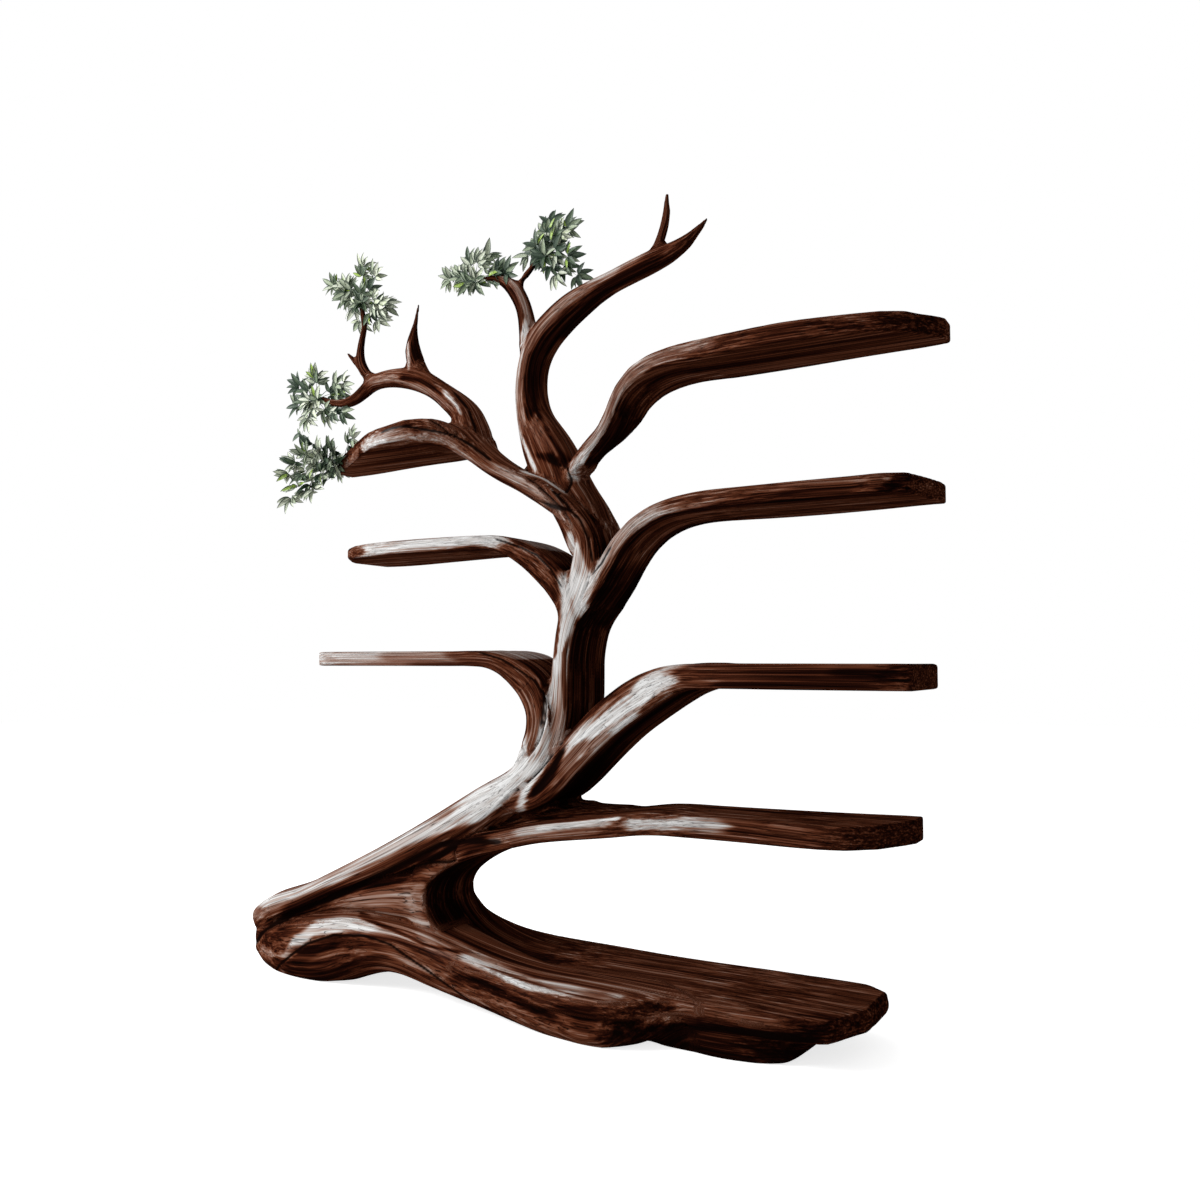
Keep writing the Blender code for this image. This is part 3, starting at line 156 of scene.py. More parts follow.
# The wood's own red brown and dark tones, painted silver sheen and painted shade in valleys, the pocket and
# under edges, laid on in this order: tone from black 0 to silver 100, half width and line
TONE_SHEEN_AND_SHADE = (
    # Lean and burl
    (55, 29.6, (-960, 147), (-790, 212), (-580, 322), (-368, 414), (-218, 489)),
    (82, 11.9, (-938, 166), (-820, 203), (-700, 248), (-599, 301), (-501, 347), (-440, 373)),
    (80, 16, (-447, 375), (-368, 404), (-305, 424), (-234, 469)),
    (97, 20.2, (-245, 453), (-190, 510), (-141, 552), (-116, 593)),
    (38, 11.5, (-914, 118), (-789, 184), (-682, 225), (-570, 277), (-466, 337), (-368, 376),
     (-282, 404)),
    (50, 9, (-266, 410), (-202, 443), (-136, 476)),
    # Painted shade in the valley under the lean
    (11, 19, (-829, 165), (-725, 208), (-669, 225), (-550, 255), (-444, 298), (-341, 345), (-270, 372)),
    (15, 12, (-430, 316), (-345, 337), (-290, 352)),
    # Web
    (47, 33.2, (-609, 197), (-511, 218), (-432, 216)),
    (44, 16.3, (-451, 266), (-403, 292), (-348, 321)),
    (50, 18.3, (-431, 175), (-381, 148), (-317, 130)),
    (54, 13, (-452, 205), (-437, 180), (-405, 150), (-350, 115)),
    # Yoke
    (62, 13.5, (-612, 149), (-529, 146), (-442, 135), (-343, 113), (-255, 106)),
    (84, 17, (-826, 39), (-782, 94), (-735, 130), (-674, 145), (-606, 149)),
    (26, 20.3, (-928, 73), (-873, 99)),
    (50, 15.2, (-905, 49), (-863, 33)),
    (32, 37.4, (-751, 50), (-646, 85), (-549, 96), (-445, 80)),
    (15, 14.7, (-759, 65), (-701, 91)),
    (18, 9.5, (-803, 17), (-686, 30), (-575, 72), (-508, 86)),
    (18, 12.2, (-743, 7), (-649, 13), (-580, 38)),
    (30, 18, (-480, 85), (-378, 59), (-280, 38)),
    (18, 3.4, (-616, 170), (-501, 155), (-398, 135), (-305, 129)),
    # Base front
    (44, 24.8, (-439, 111), (-343, 86), (-241, 59), (-109, 38), (38, 17)),
    (45, 12.4, (-343, 105), (-243, 97), (-144, 84), (-49, 76), (64, 90)),
    (17, 10.5, (-268, 74), (-194, 75), (-109, 61), (-18, 49)),
    (12, 8.2, (5, 64), (70, 77)),
    (86, 7.3, (-269, 121), (-199, 112), (-143, 101), (-88, 94), (-29, 95), (50, 101)),
    (88, 6.2, (-53, 94), (8, 97), (65, 100), (110, 99)),
    (45, 10.3, (-45, 79), (6, 81), (62, 90)),
    (32, 20.3, (66, 51), (135, 45), (193, 57)),
    (42, 13.8, (235, 76), (306, 79), (379, 80)),
    (18, 7.2, (24, 71), (78, 78)),
    (18, 8.1, (66, 66), (119, 68), (156, 61)),
    (18, 6.1, (186, 87), (218, 85)),
    (20, 15.6, (524, 88), (585, 73)),
    # Painted shadow on the foot under the base's front edge
    (7, 24, (200, 22), (340, 20), (560, 22)),
    (3, 8.5, (235, 45), (320, 58), (420, 66), (520, 72)),
    (21, 8.5, (290, 22), (400, 18)),
    # Trunk below the shelves
    (96, 20.3, (-254, 481), (-187, 518), (-164, 548), (-138, 587)),
    (96, 13.4, (-137, 490), (-116, 524), (-99, 562)),
    (45, 13.5, (-121, 613), (-111, 654), (-115, 684), (-131, 714)),
    (62, 17.9, (-64, 575), (-58, 618), (-53, 656), (-58, 685), (-60, 722), (-53, 751)),
    (84, 6.7, (-94, 580), (-83, 629), (-83, 666), (-80, 711), (-76, 729)),
    (78, 17.9, (-53, 759), (-49, 788), (-45, 818)),
    (95, 19.7, (-47, 825), (-34, 862), (-15, 895), (5, 927), (25, 967), (44, 995), (60, 1012)),
    (95, 13.4, (-35, 932), (-15, 976), (-8, 1017)),
    (36, 4.5, (-40, 700), (-43, 760), (-41, 810), (-27, 855), (-4, 888), (29, 924), (50, 955), (70, 980),
     (87, 1011)),
    (36, 3.6, (-65, 810), (-57, 862), (-61, 904), (-68, 941)),
    # Pocket, dark with painted shade
    (12, 13.4, (-47, 586), (-66, 553), (-102, 510)),
    # Arm right 2
    (96, 24.9, (27, 629), (88, 667), (147, 704), (194, 740), (231, 761)),
    (90, 16, (45, 613), (105, 650), (165, 688), (210, 722)),
    (38, 9, (33, 682), (72, 702), (117, 730), (161, 759)),
    (40, 8.1, (173, 696), (213, 723), (267, 746), (346, 757)),
    (66, 14.1, (243, 770), (286, 770), (330, 770)),
    (93, 12, (178, 748), (225, 768)),
    (55, 13, (-23, 577), (-8, 595), (18, 607), (53, 619)),
    (55, 8.7, (-19, 544), (6, 567), (24, 586)),
    (36, 7.7, (-115, 484), (-52, 513), (-22, 534), (10, 567)),
    (62, 4.2, (66, 640), (105, 664), (147, 690)),
    # Arm left 1
    (42, 9, (-308, 796), (-251, 794), (-206, 775), (-168, 745), (-134, 702), (-118, 662)),
    (44, 3.4, (-191, 805), (-142, 781), (-101, 749)),
    # Arm left 2
    (34, 18, (-150, 1011), (-113, 979), (-83, 941)),
    (36, 20.2, (-170, 1040), (-129, 1014), (-92, 982), (-66, 950)),
    (60, 3.2, (-143, 1049), (-109, 1033), (-83, 1004)),
    (90, 13, (-40, 950), (-37, 920), (-34, 890)),
    # Limb left 3
    (95, 20, (3, 931), (-2, 962), (-4, 996)),
    (92, 11, (33, 961), (44, 983)),
    (80, 13.4, (-8, 1014), (-32, 1052), (-36, 1076), (-29, 1097)),
    (54, 13, (-36, 1101), (-67, 1140), (-106, 1174), (-146, 1200)),
    (54, 10, (-154, 1202), (-187, 1220), (-228, 1238), (-270, 1261), (-302, 1280)),
    (40, 13.4, (22, 1029), (10, 1070), (-5, 1105), (-31, 1137)),
    # Crown
    (48, 26.1, (-85, 1249), (-111, 1288), (-138, 1327), (-156, 1367), (-169, 1426), (-168, 1482)),
    (44, 25.1, (-89, 1228), (-64, 1205)),
    (82, 5.8, (-203, 1411), (-197, 1362), (-187, 1323), (-164, 1283), (-145, 1248)),
    (15, 7.2, (-125, 1354), (-150, 1392), (-159, 1448), (-156, 1485)),
    (17, 8.1, (-161, 1407), (-121, 1345), (-84, 1294), (-62, 1257)),
    (15, 9.2, (-114, 1263), (-85, 1253)),
    (42, 9.3, (-151, 1414), (-121, 1356), (-91, 1315), (-68, 1285)),
    # Arm right 4
    (85, 12.1, (-6, 1238), (20, 1259), (49, 1282), (66, 1303)),
    (70, 10.8, (66, 1303), (79, 1335), (97, 1370), (118, 1393), (138, 1413)),
    (58, 12.4, (95, 1360), (113, 1386), (144, 1406), (187, 1430), (244, 1438), (309, 1442)),
    # Arm right 3
    (44, 13, (45, 944), (73, 986), (94, 1015), (112, 1037)),
    (68, 14.4, (88, 1041), (115, 1066), (143, 1082), (182, 1099), (220, 1114), (265, 1118), (305, 1119)),
    (85, 6.5, (46, 987), (68, 1016), (84, 1038)),
    (66, 12.5, (109, 1056), (143, 1081), (182, 1102), (230, 1120), (257, 1126)),
    # Shelf fronts
    (38, 16.7, (267, 1126), (373, 1130), (513, 1132), (642, 1131), (713, 1132)),
    (12, 9.3, (702, 1116), (736, 1136)),
    (33, 15.5, (285, 765), (414, 766), (504, 767)),
    (20, 9.3, (367, 746), (547, 752), (727, 757)),
    (22, 11.1, (611, 767), (727, 768)),
    (36, 14, (328, 446), (414, 448)),
    (36, 7, (12, 413), (77, 426), (137, 428), (196, 430), (273, 430), (414, 430)),
    (52, 10.8, (-199, 391), (-126, 405), (-33, 416), (34, 429)),
    (76, 8.6, (-126, 413), (-56, 428), (12, 439), (68, 447)),
    (94, 4.3, (-79, 424), (-11, 435), (43, 447), (97, 456)),
    (86, 12.3, (157, 450), (215, 453), (273, 455), (309, 455)),
    (90, 16.2, (-616, 1064), (-521, 1067), (-427, 1069), (-343, 1072), (-265, 1075), (-235, 1072)),
    (42, 12.6, (-707, 1065), (-649, 1066)),
    (80, 19.3, (-719, 800), (-620, 799), (-497, 801)),
    (60, 16.4, (-497, 801), (-409, 803), (-330, 805)),
    (36, 13.8, (-296, 805), (-242, 801)),
    (86, 18.9, (-547, 1322), (-478, 1324), (-440, 1331)),
    (58, 14.1, (-425, 1327), (-388, 1326), (-341, 1312), (-299, 1288)),
    (50, 12.8, (-764, 1315), (-676, 1321)),
    (84, 16.5, (-546, 1319), (-489, 1326), (-451, 1333), (-427, 1338)),
    (60, 14.1, (-423, 1327), (-371, 1330), (-339, 1317), (-296, 1287)),
    (42, 21.2, (-393, 1355), (-352, 1352), (-319, 1335), (-291, 1313)),
    (60, 9, (-293, 1276), (-246, 1254), (-205, 1236), (-164, 1214)),
    # Bough
    (42, 24.9, (-281, 1311), (-313, 1368), (-337, 1409), (-384, 1454), (-437, 1489)),
    (52, 9.8, (-646, 1517), (-578, 1514), (-524, 1494), (-450, 1459), (-399, 1421)),
    (72, 4.8, (-431, 1468), (-400, 1450), (-374, 1427), (-350, 1399)),
    (15, 6.2, (-534, 1506), (-481, 1490), (-441, 1469), (-420, 1455)),
    (78, 6.3, (-534, 1580), (-530, 1551)),
    # Crown above
    (50, 14.2, (-186, 1371), (-198, 1433), (-193, 1494), (-173, 1539)),
    (74, 7.2, (-208, 1396), (-208, 1457), (-195, 1524), (-193, 1570)),
    (84, 8.4, (-198, 1579), (-194, 1604)),
    (60, 9.8, (-186, 1616), (-204, 1656), (-229, 1701), (-255, 1722)),
    (58, 13.7, (-125, 1584), (-81, 1621), (-33, 1645), (9, 1666), (73, 1688)),
    (74, 6.9, (4, 1674), (42, 1680)),
    (15, 11.2, (-165, 1390), (-171, 1452), (-157, 1511), (-127, 1551), (-85, 1584), (-35, 1617),
     (15, 1645), (72, 1667), (136, 1684)),
)
# The same, painted sheen and painted shade among them, for surfaces that face sideways, up or down
SIDE_TONE_SHEEN_AND_SHADE = (
    (40, 40, (-45, 1150), (-100, 1190), (-210, 1245), (-290, 1320), (-350, 1425)),
    (44, 30, (30, 1150), (-10, 1200), (-70, 1270), (-120, 1370), (-130, 1450)),
    (41, 28, (-790, 1308), (-380, 1308)),
    (40, 22, (-770, 1052), (-250, 1052)),
    (32, 30, (130, 1395), (200, 1425), (800, 1425)),
    (30, 26, (120, 1045), (220, 1105), (780, 1108)),
    (27, 30, (60, 630), (230, 735), (740, 742)),
    (32, 22.5, (-174, 799), (-132, 781), (-93, 747)),
    (62, 4.8, (-240, 816), (-241, 817), (-211, 811), (-175, 802)),
    (16, 13.9, (-60, 991), (-51, 1004), (-72, 1023)),
    (40, 14, (-149, 1066), (-129, 1058), (-91, 1036)),
    (55, 4.7, (-147, 1065), (-143, 1064), (-124, 1056)),
    # Painted silver sheen in the fork of the crown
    (97, 9, (-134, 1221), (-97, 1201), (-72, 1183)),
    (40, 9.6, (-152, 1418), (-157, 1478), (-143, 1516), (-116, 1553)),
    (38, 11.1, (71, 1653), (148, 1674), (208, 1700), (244, 1733)),
)
# Creases, carved and darkened with painted shade: depth, half width and line
CREASES = (
    # Under the lean
    (6, 9.1, (-965, 68), (-922, 107), (-852, 145), (-731, 193), (-640, 233), (-519, 289), (-437, 328),
     (-373, 360), (-307, 377), (-210, 383)),
    # Burl and front strand
    (3, 4.9, (-882, 4), (-806, 58), (-752, 93), (-668, 124), (-576, 133), (-494, 122), (-439, 101),
     (-377, 80), (-315, 56), (-259, 32)),
    (5, 9, (-51, 583), (-75, 545), (-107, 505)),
    (2.5, 4, (-247, 811), (-193, 796), (-150, 773), (-108, 747), (-86, 718), (-88, 685), (-93, 655)),
    (2.5, 4.5, (30, 1019), (21, 1066), (2, 1103), (-27, 1139), (-62, 1171)),
    (2, 3.9, (30, 981), (59, 1004), (80, 1033)),
    (2.5, 4, (-201, 1070), (-143, 1050), (-105, 1031), (-72, 999), (-50, 964)),
    (2, 4.6, (-93, 1250), (-44, 1229), (-42, 1204), (-51, 1175)),
    (3, 4.7, (-490, 1340), (-443, 1347), (-420, 1346), (-392, 1339), (-355, 1332), (-321, 1322),
     (-294, 1306), (-272, 1291), (-238, 1265)),
    (2, 4.5, (-254, 1287), (-300, 1339), (-331, 1403), (-378, 1450)),
)

# How much the distance along a line counts past its ends, and how many half widths a line reaches
STROKE_FADE, STROKE_REACH = 0.3, 5

CAMERA_AZIMUTH = math.radians(30)
CAMERA_DISTANCE, CAMERA_HEIGHT = 2.40, 0.79
PHOTO_SIDE, FOCAL_PIXELS, HORIZON_DROP_PIXELS = 1200, 1050, 62
SENSOR_WIDTH = 36.0
LIGHT_AIM = Vector((-0.1, 0, 0.9))
FLOOR_SIDE, FLOOR_DROP = 24, 0.0005


def smooth_step(low, high, values):
    """From 0 at low to 1 at high, level at both."""
    t = np.clip((values - low) / (high - low), 0.0, 1.0)
    return t * t * (3 - 2 * t)


def lattice(i, j, k, seed):
    """A fixed random number from -1 to 1 for each whole numbered place."""
    n = (i * 374761393 + j * 668265263 + k * 1440662683 + seed * 69069) & 0xFFFFFFFF
    n = ((n ^ (n >> 13)) * 1274126177) & 0xFFFFFFFF
    n = ((n ^ (n >> 15)) * 2246822519) & 0xFFFFFFFF
    return ((n ^ (n >> 16)) & 0xFFFF) / 32767.5 - 1.0


def noise(points, scales, seed):
    """Smooth noise from -1 to 1 at points that are stretched by scales."""
    scaled = points * np.array(scales)
    whole = np.floor(scaled).astype(np.int64)
    part = scaled - whole
    part = part * part * part * (part * (part * 6 - 15) + 10)
    total = np.zeros(len(points))
    for corner in range(8):
        step = np.array([corner & 1, corner >> 1 & 1, corner >> 2 & 1])
        weight = np.prod(np.where(step, part, 1 - part), axis=1)
        total += weight * lattice(*(whole + step).T, seed)
    return total


def inside_box(flat, low, high):
    """The numbers of the points that lie in a box."""
    return np.nonzero(((flat > low) & (flat < high)).all(axis=1))[0]


class Strand:
    """A limb's centre line, sampled at even steps, with its direction and half thickness at each sample."""

    def __init__(self, points):
        points = np.array(points, float) * MM
        points[:, 0] += SHIFT_X
        gaps = np.hypot(*np.diff(points[:, :2], axis=0).T)
        along = np.concatenate([[0.0], np.cumsum(gaps)])
        rates = np.gradient(points, along, axis=0)
        count = max(int(along[-1] / STRAND_STEP), 4)
        self.along = np.linspace(0.0, along[-1], count)
        i = np.clip(np.searchsorted(along, self.along, "right") - 1, 0, len(along) - 2)
        span = (along[i + 1] - along[i])[:, None]
        t = (self.along - along[i])[:, None] / span
        a, b, p, q = points[i], points[i + 1], rates[i] * span, rates[i + 1] * span
        self.samples = ((2 * a - 2 * b + p + q) * t + 3 * (b - a) - 2 * p - q) * t * t + p * t + a
        tangent = np.gradient(self.samples[:, :2], self.along, axis=0)
        self.tangent = tangent / np.linalg.norm(tangent, axis=1, keepdims=True)

    def coordinates(self, points):
        """Place along, place across, half the thickness, how far past the ends, direction and what is left.

        Across and past the ends are in half thicknesses.
        """
        flat = points[:, [0, 2]]
        best = np.full(len(flat), np.inf)
        index = np.zeros(len(flat), int)
        for k, sample in enumerate(self.samples):
            gap = (flat[:, 0] - sample[0]) ** 2 + (flat[:, 1] - sample[1]) ** 2
            nearer = gap < best
            best[nearer] = gap[nearer]
            index[nearer] = k
        offset = flat - self.samples[index, :2]
        tangent = self.tangent[index]
        past = (offset * tangent).sum(axis=1)
        across = offset[:, 1] * tangent[:, 0] - offset[:, 0] * tangent[:, 1]
        thick = np.maximum(self.samples[index, 2], LEAST_HALF)
        ends = (index == 0) & (past < 0) | (index == len(self.along) - 1) & (past > 0)
        outside = np.where(ends, np.abs(past), 0.0)
        along = self.along[index] + past
        return along, across / thick, thick, outside / thick, tangent, self.along[-1] - along


def strand_fields(points, normals):
    """What the strands say of each point, which lies on the strand whose side is nearest to it."""
    count = len(points)
    first, rival = np.full(count, np.inf), np.full(count, np.inf)
    start, rival_start = np.ones(count), np.ones(count)
    second = np.full(count, np.inf)
    family = np.full(count, -1)
    grain, way = np.zeros((count, 3)), np.zeros((count, 3))
    thick, rest = np.full(count, USUAL_HALF), np.zeros(count)
    facing = smooth_step(0.35, 0.8, np.abs(normals[:, 1]))
    flat = points[:, [0, 2]]
    for number, (name, points_along) in enumerate(STRANDS.items()):
        strand = Strand(points_along)
        line = strand.samples[:, :2]
        near = inside_box(flat, line.min(axis=0) - STRAND_REACH, line.max(axis=0) + STRAND_REACH)
        along, across, half, outside, tangent, left = strand.coordinates(points[near])
        inside = np.hypot(across, outside) * (half / USUAL_HALF) ** 0.25
        side = 1.6 * np.abs(np.hypot(across, outside) - 1)
        score = facing[near] * inside + (1 - facing[near]) * side
        if name not in ("trunk", *ROOT_STRANDS):
            score = score + 1.2 * (1 - smooth_step(*BRANCH_OWN_GRAIN, along))
        if name == "yoke":
            back = np.interp(points[near, 0] - SHIFT_X, YOKE_BACK_AT, YOKE_BACK)
            score = score + np.maximum(points[near, 1] - back, 0.0) / YOKE_BACK_BLUR
        if name == "curl":
            front = smooth_step(0.2, 0.6, -normals[near, 1])
            score = score + 3.0 * front * smooth_step(*CROTCH_FRONT_END, points[near, 0] - SHIFT_X)
        if name == "web":
            score = score + 3.0 * (1 - facing[near])
        kin = 0 if name in ROOT_STRANDS else number + 1
        wins = score < first[near]
        second[near] = np.where(wins, first[near], np.minimum(second[near], score))
        chosen, lost = near[wins], near[~wins]
        changed = chosen[family[chosen] != kin]
        rival[changed] = first[changed]
        rival_start[changed] = start[changed]
        other = (family[lost] != kin) & (score[~wins] < rival[lost])
        rival[lost[other]] = score[~wins][other]
        rival_start[lost[other]] = along[~wins][other]
        first[chosen] = score[wins]
        start[chosen] = along[wins]
        family[chosen] = kin
        grain[chosen, 0] = along[wins] + GRAIN_SHIFT_ALONG * number
        grain[chosen, 1] = np.clip(across[wins], -GRAIN_LIMIT, GRAIN_LIMIT) * GRAIN_WIDTH
        grain[chosen, 2] = points[chosen, 1] + GRAIN_SHIFT_DEEP * number
        way[chosen, 0], way[chosen, 2] = tangent[wins].T
        thick[chosen] = half[wins]
        rest[chosen] = left[wins]
    seam = (1 - smooth_step(0.02, 0.26, rival - first)) * facing
    seam *= smooth_step(*BRANCH_OWN_CREASE, np.minimum(start, rival_start))
    inner = smooth_step(0.0, 0.35, np.minimum(second - first, 1.0))
    return {"grain": grain, "seam": seam, "inner": inner, "thick": thick, "way": way, "rest": rest}


def mesh_from(name, bm):
    """A new mesh with what the bmesh holds, which is freed."""
    mesh = bpy.data.meshes.new(name)
    bm.to_mesh(mesh)
    bm.free()
    return mesh


def in_scene(name, data):
    """A new object in the scene."""
    obj = bpy.data.objects.new(name, data)
    bpy.context.scene.collection.objects.link(obj)
    return obj


def merged_skin(nodes):
    """One closed skin round the blanks and the pins, as points and four sided faces."""
    bm = bmesh.new()
    for name, node in nodes.items():
        if name.startswith(WOOD_PREFIXES + PIN_PREFIXES):
            part = bmesh.new()
            part.from_mesh(node.data)
            bmesh.ops.remove_doubles(part, verts=part.verts, dist=WELD)
            part.normal_update()
            for vertex in part.verts:
                vertex.co += vertex.normal * JOINT_OVERLAP
            copy = mesh_from(name, part)
            bm.from_mesh(copy)
            bpy.data.meshes.remove(copy)
    obj = in_scene("merged", mesh_from("merged", bm))
    remesh = obj.modifiers.new("skin", "REMESH")
    remesh.mode = "VOXEL"
    remesh.voxel_size = VOXEL
    bpy.context.view_layer.update()
    made = bpy.data.meshes.new_from_object(obj.evaluated_get(bpy.context.evaluated_depsgraph_get()))
    bpy.data.objects.remove(obj)
    points = np.empty(len(made.vertices) * 3)
    made.vertices.foreach_get("co", points)
    faces = np.empty(len(made.loops), int)
    made.loops.foreach_get("vertex_index", faces)
    return largest_shell(points.reshape(-1, 3), faces.reshape(-1, 4))


def largest_shell(points, faces):
    """Drops the small shells left inside by the clearances of the pins."""
    label = np.arange(len(points))
    while True:
        lowest = label[faces].min(axis=1)
        new = label.copy()
        np.minimum.at(new, faces.ravel(), np.repeat(lowest, 4))
        new = new[new]
        if (new == label).all():
            break
        label = new
    names, counts = np.unique(label, return_counts=True)
    keep = label == names[counts.argmax()]
    place = np.cumsum(keep) - 1
    return points[keep], place[faces[keep[faces[:, 0]]]]


def edges_of(faces):
    """Each edge of the faces once, as the numbers of its two ends."""
    ends = np.concatenate([faces[:, [k, (k + 1) % 4]] for k in range(4)])
    return np.unique(np.sort(ends, axis=1), axis=0)


def spread(values, edges, pull):
    """The mean of each point's neighbours, each edge counting by its pull."""
    share = np.bincount(edges[:, 0], pull, len(values)) + np.bincount(edges[:, 1], pull, len(values))
    total = np.empty_like(values)
    for axis in range(values.shape[1]):
        there = np.bincount(edges[:, 0], pull * values[edges[:, 1], axis], len(values))
        total[:, axis] = there + np.bincount(edges[:, 1], pull * values[edges[:, 0], axis], len(values))
    return total / np.maximum(share, 1e-9)[:, None]


def relax(points, edges, part, rounds, keep=0.02, strength=0.6):
    """Smooths a skin without shrinking it. Part says how far each point takes part."""
    pull = np.ones(len(edges))
    back = 1 / (keep - 1 / strength)
    for _ in range(rounds):
        for amount in (strength, back):
            points = points + (part * amount)[:, None] * (spread(points, edges, pull) - points)
    return points


def flow(points, edges, fields, rounds):
    """Smooths a skin along its strands only, which rounds bends and leaves the section as it is."""
    run = points[edges[:, 1]] - points[edges[:, 0]]
    run /= np.maximum(np.linalg.norm(run, axis=1, keepdims=True), 1e-9)
    way = fields["way"][edges[:, 0]] + fields["way"][edges[:, 1]]
    way /= np.maximum(np.linalg.norm(way, axis=1, keepdims=True), 1e-9)
    pull = 0.02 + np.abs((run * way).sum(axis=1)) ** 4
    part = 0.6 * smooth_step(0.012, 0.05, fields["rest"]) * np.clip(fields["thick"] / 0.012, 0.2, 1.0)
    for _ in range(rounds):
        points = points + part[:, None] * (spread(points, edges, pull) - points)
    return points


def point_normals(points, faces):
    """The mean direction of the faces round each point, larger faces counting more."""
    across = points[faces[:, 2]] - points[faces[:, 0]]
    other = points[faces[:, 3]] - points[faces[:, 1]]
    turned = np.cross(across, other)
    normals = np.zeros_like(points)
    for axis in range(3):
        for corner in range(4):
            normals[:, axis] += np.bincount(faces[:, corner], turned[:, axis], len(points))
    return normals / np.maximum(np.linalg.norm(normals, axis=1, keepdims=True), 1e-12)


def owners(points, nodes):
    """The wooden node nearest to each point, as numbers, and their names."""
    names = [name for name in nodes if name.startswith(WOOD_PREFIXES)]
    places, polygons, source = [], [], []
    for number, name in enumerate(names):
        mesh = nodes[name].data
        start = len(places)
        places += [vertex.co.copy() for vertex in mesh.vertices]
        polygons += [[start + i for i in polygon.vertices] for polygon in mesh.polygons]
        source += [number] * len(mesh.polygons)
    tree = BVHTree.FromPolygons(places, polygons)
    found = [source[tree.find_nearest(Vector(point))[2]] for point in points]
    return np.array(found), names


def settle(owner, faces, count):
    """Gives each face the owner that most of its neighbours have, so that seams run straight."""
    for _ in range(3):
        votes = np.zeros((owner.max() + 1, count))
        for corner in range(4):
            np.add.at(votes, (owner, faces[:, corner]), 1.0)
        totals = votes[:, faces].sum(axis=2)
        owner = totals.argmax(axis=0)
    return owner


def line_gap(flat, line):
    """How far each point is from a line. Past the line's ends the distance along it counts for less."""
    best = np.full(len(flat), np.inf)
    last = len(line) - 2
    for k, (start, end) in enumerate(zip(line, line[1:])):
        length = np.linalg.norm(end - start)
        way = (end - start) / length
        run = (flat - start) @ way
        before = np.maximum(-run, 0.0) * (STROKE_FADE if k == 0 else 1.0)
        beyond = np.maximum(run - length, 0.0) * (STROKE_FADE if k == last else 1.0)
        aside = (flat - start) @ np.array([-way[1], way[0]])
        best = np.minimum(best, np.hypot(aside, before + beyond))
    return best


def strokes_near(points, strokes):
    """For each stroke its value, the points near it and their distance from it in half widths."""
    flat = points[:, [0, 2]] - np.array([SHIFT_X, 0.0])
    for value, width, *line in strokes:
        line, half = np.array(line) * MM, width * MM
        reach = STROKE_REACH * half
        near = inside_box(flat, line.min(axis=0) - reach, line.max(axis=0) + reach)
        yield value, near, line_gap(flat[near], line) / half


def creases_at(points, normals):
    """How deep the drawn creases are at each point, and how dark their painted shade is."""
    depth, dark = np.zeros(len(points)), np.zeros(len(points))
    front = smooth_step(0.1, 0.4, -normals[:, 1])
    for deep, near, gap in strokes_near(points, CREASES):
        cut = np.clip(1 - 0.6 * gap, 0.0, 1.0) * front[near]
        depth[near] = np.maximum(depth[near], deep * MM * cut)
        # Painted shade along the crease
        dark[near] = np.maximum(dark[near], smooth_step(0.2, 0.8, cut))
    return depth, dark


def carve(points, faces, board):
    """Carves flutes along the grain and creases where strands meet.

    Returns the points, the relief and how deep in a crease each point lies; the last two give painted shade.
    """
    normals = point_normals(points, faces)
    fields = strand_fields(points, normals)
    grain, seam, thick = fields["grain"], fields["seam"], fields["thick"]
    limb = np.clip(thick / 0.035, 0.15, 1.1) * (1 - BOARD_CALM * board)
    edge = board * smooth_step(0.35, 0.9, np.hypot(normals[:, 0], normals[:, 1]))
    limb = limb + BOARD_EDGE * edge
    flutes = noise(grain, (1.5, 17, 15), 3)
    ridges = noise(grain + 0.4 * flutes[:, None] * np.array([0, 0.01, 0.01]), (2.6, 40, 36), 5)
    fine = noise(grain, (6.0, 105, 100), 8)
    relief = 0.60 * flutes + 0.30 * ridges + 0.10 * fine
    relief *= smooth_step(0.0, 0.04, fields["rest"]) * (0.15 + 0.85 * fields["inner"])
    depth = FLUTE_DEPTH * relief * limb
    depth -= SEAM_DEPTH * seam * np.clip(thick / USUAL_HALF, 0.1, 1.0) * (1 - BOARD_SEAM * board)
    drawn, dark = creases_at(points, normals)
    depth -= drawn
    depth *= smooth_step(*FLOOR_FADE, points[:, 2])
    points = points + normals * depth[:, None]
    points[:, 2] = np.maximum(points[:, 2], 0.0)
    # The last value is the painted shade along the creases where strands meet and along the drawn creases
    return points, relief, np.maximum(seam, dark)


def tone_and_painted_light_at(points, normals, grain):
    """The tone at each point: painted shade at the sides and below, painted light on tops near the front.

    The strokes, painted sheen and painted shade among them, are laid over that.
    """
    x, y, z = normals.T
    # Painted shade on faces turned sideways and down, painted light on tops near the front
    tone = 0.37 - 0.15 * smooth_step(0.05, 0.75, x) - 0.12 * smooth_step(0.05, 0.75, -x)
    tone -= 0.12 * smooth_step(0.1, 0.8, -z) + 0.04 * smooth_step(0.2, 0.8, z)
    tone += 0.09 * smooth_step(0.2, 0.8, z) * smooth_step(0.02, -0.12, points[:, 1] - SHIFT_Y)
    ragged = 0.30 * noise(grain, (3.0, 60, 50), 12) + 0.30 * noise(grain, (5.0, 170, 150), 14)
    front = smooth_step(0.10, 0.45, -y)
    side = (1 - front) * smooth_step(-0.35, -0.05, 0.5 * x - 0.87 * y)
    # Strokes of the wood's own tones, painted silver sheen and painted shade
    for strokes, share in ((SIDE_TONE_SHEEN_AND_SHADE, side), (TONE_SHEEN_AND_SHADE, front)):
        for value, near, gap in strokes_near(points, strokes):
            cover = share[near] * (1 - smooth_step(0.55, 1.5, gap + ragged[near]))
            tone[near] += cover * (value / 100 - tone[near])
    return np.clip(tone, 0.0, 1.0)


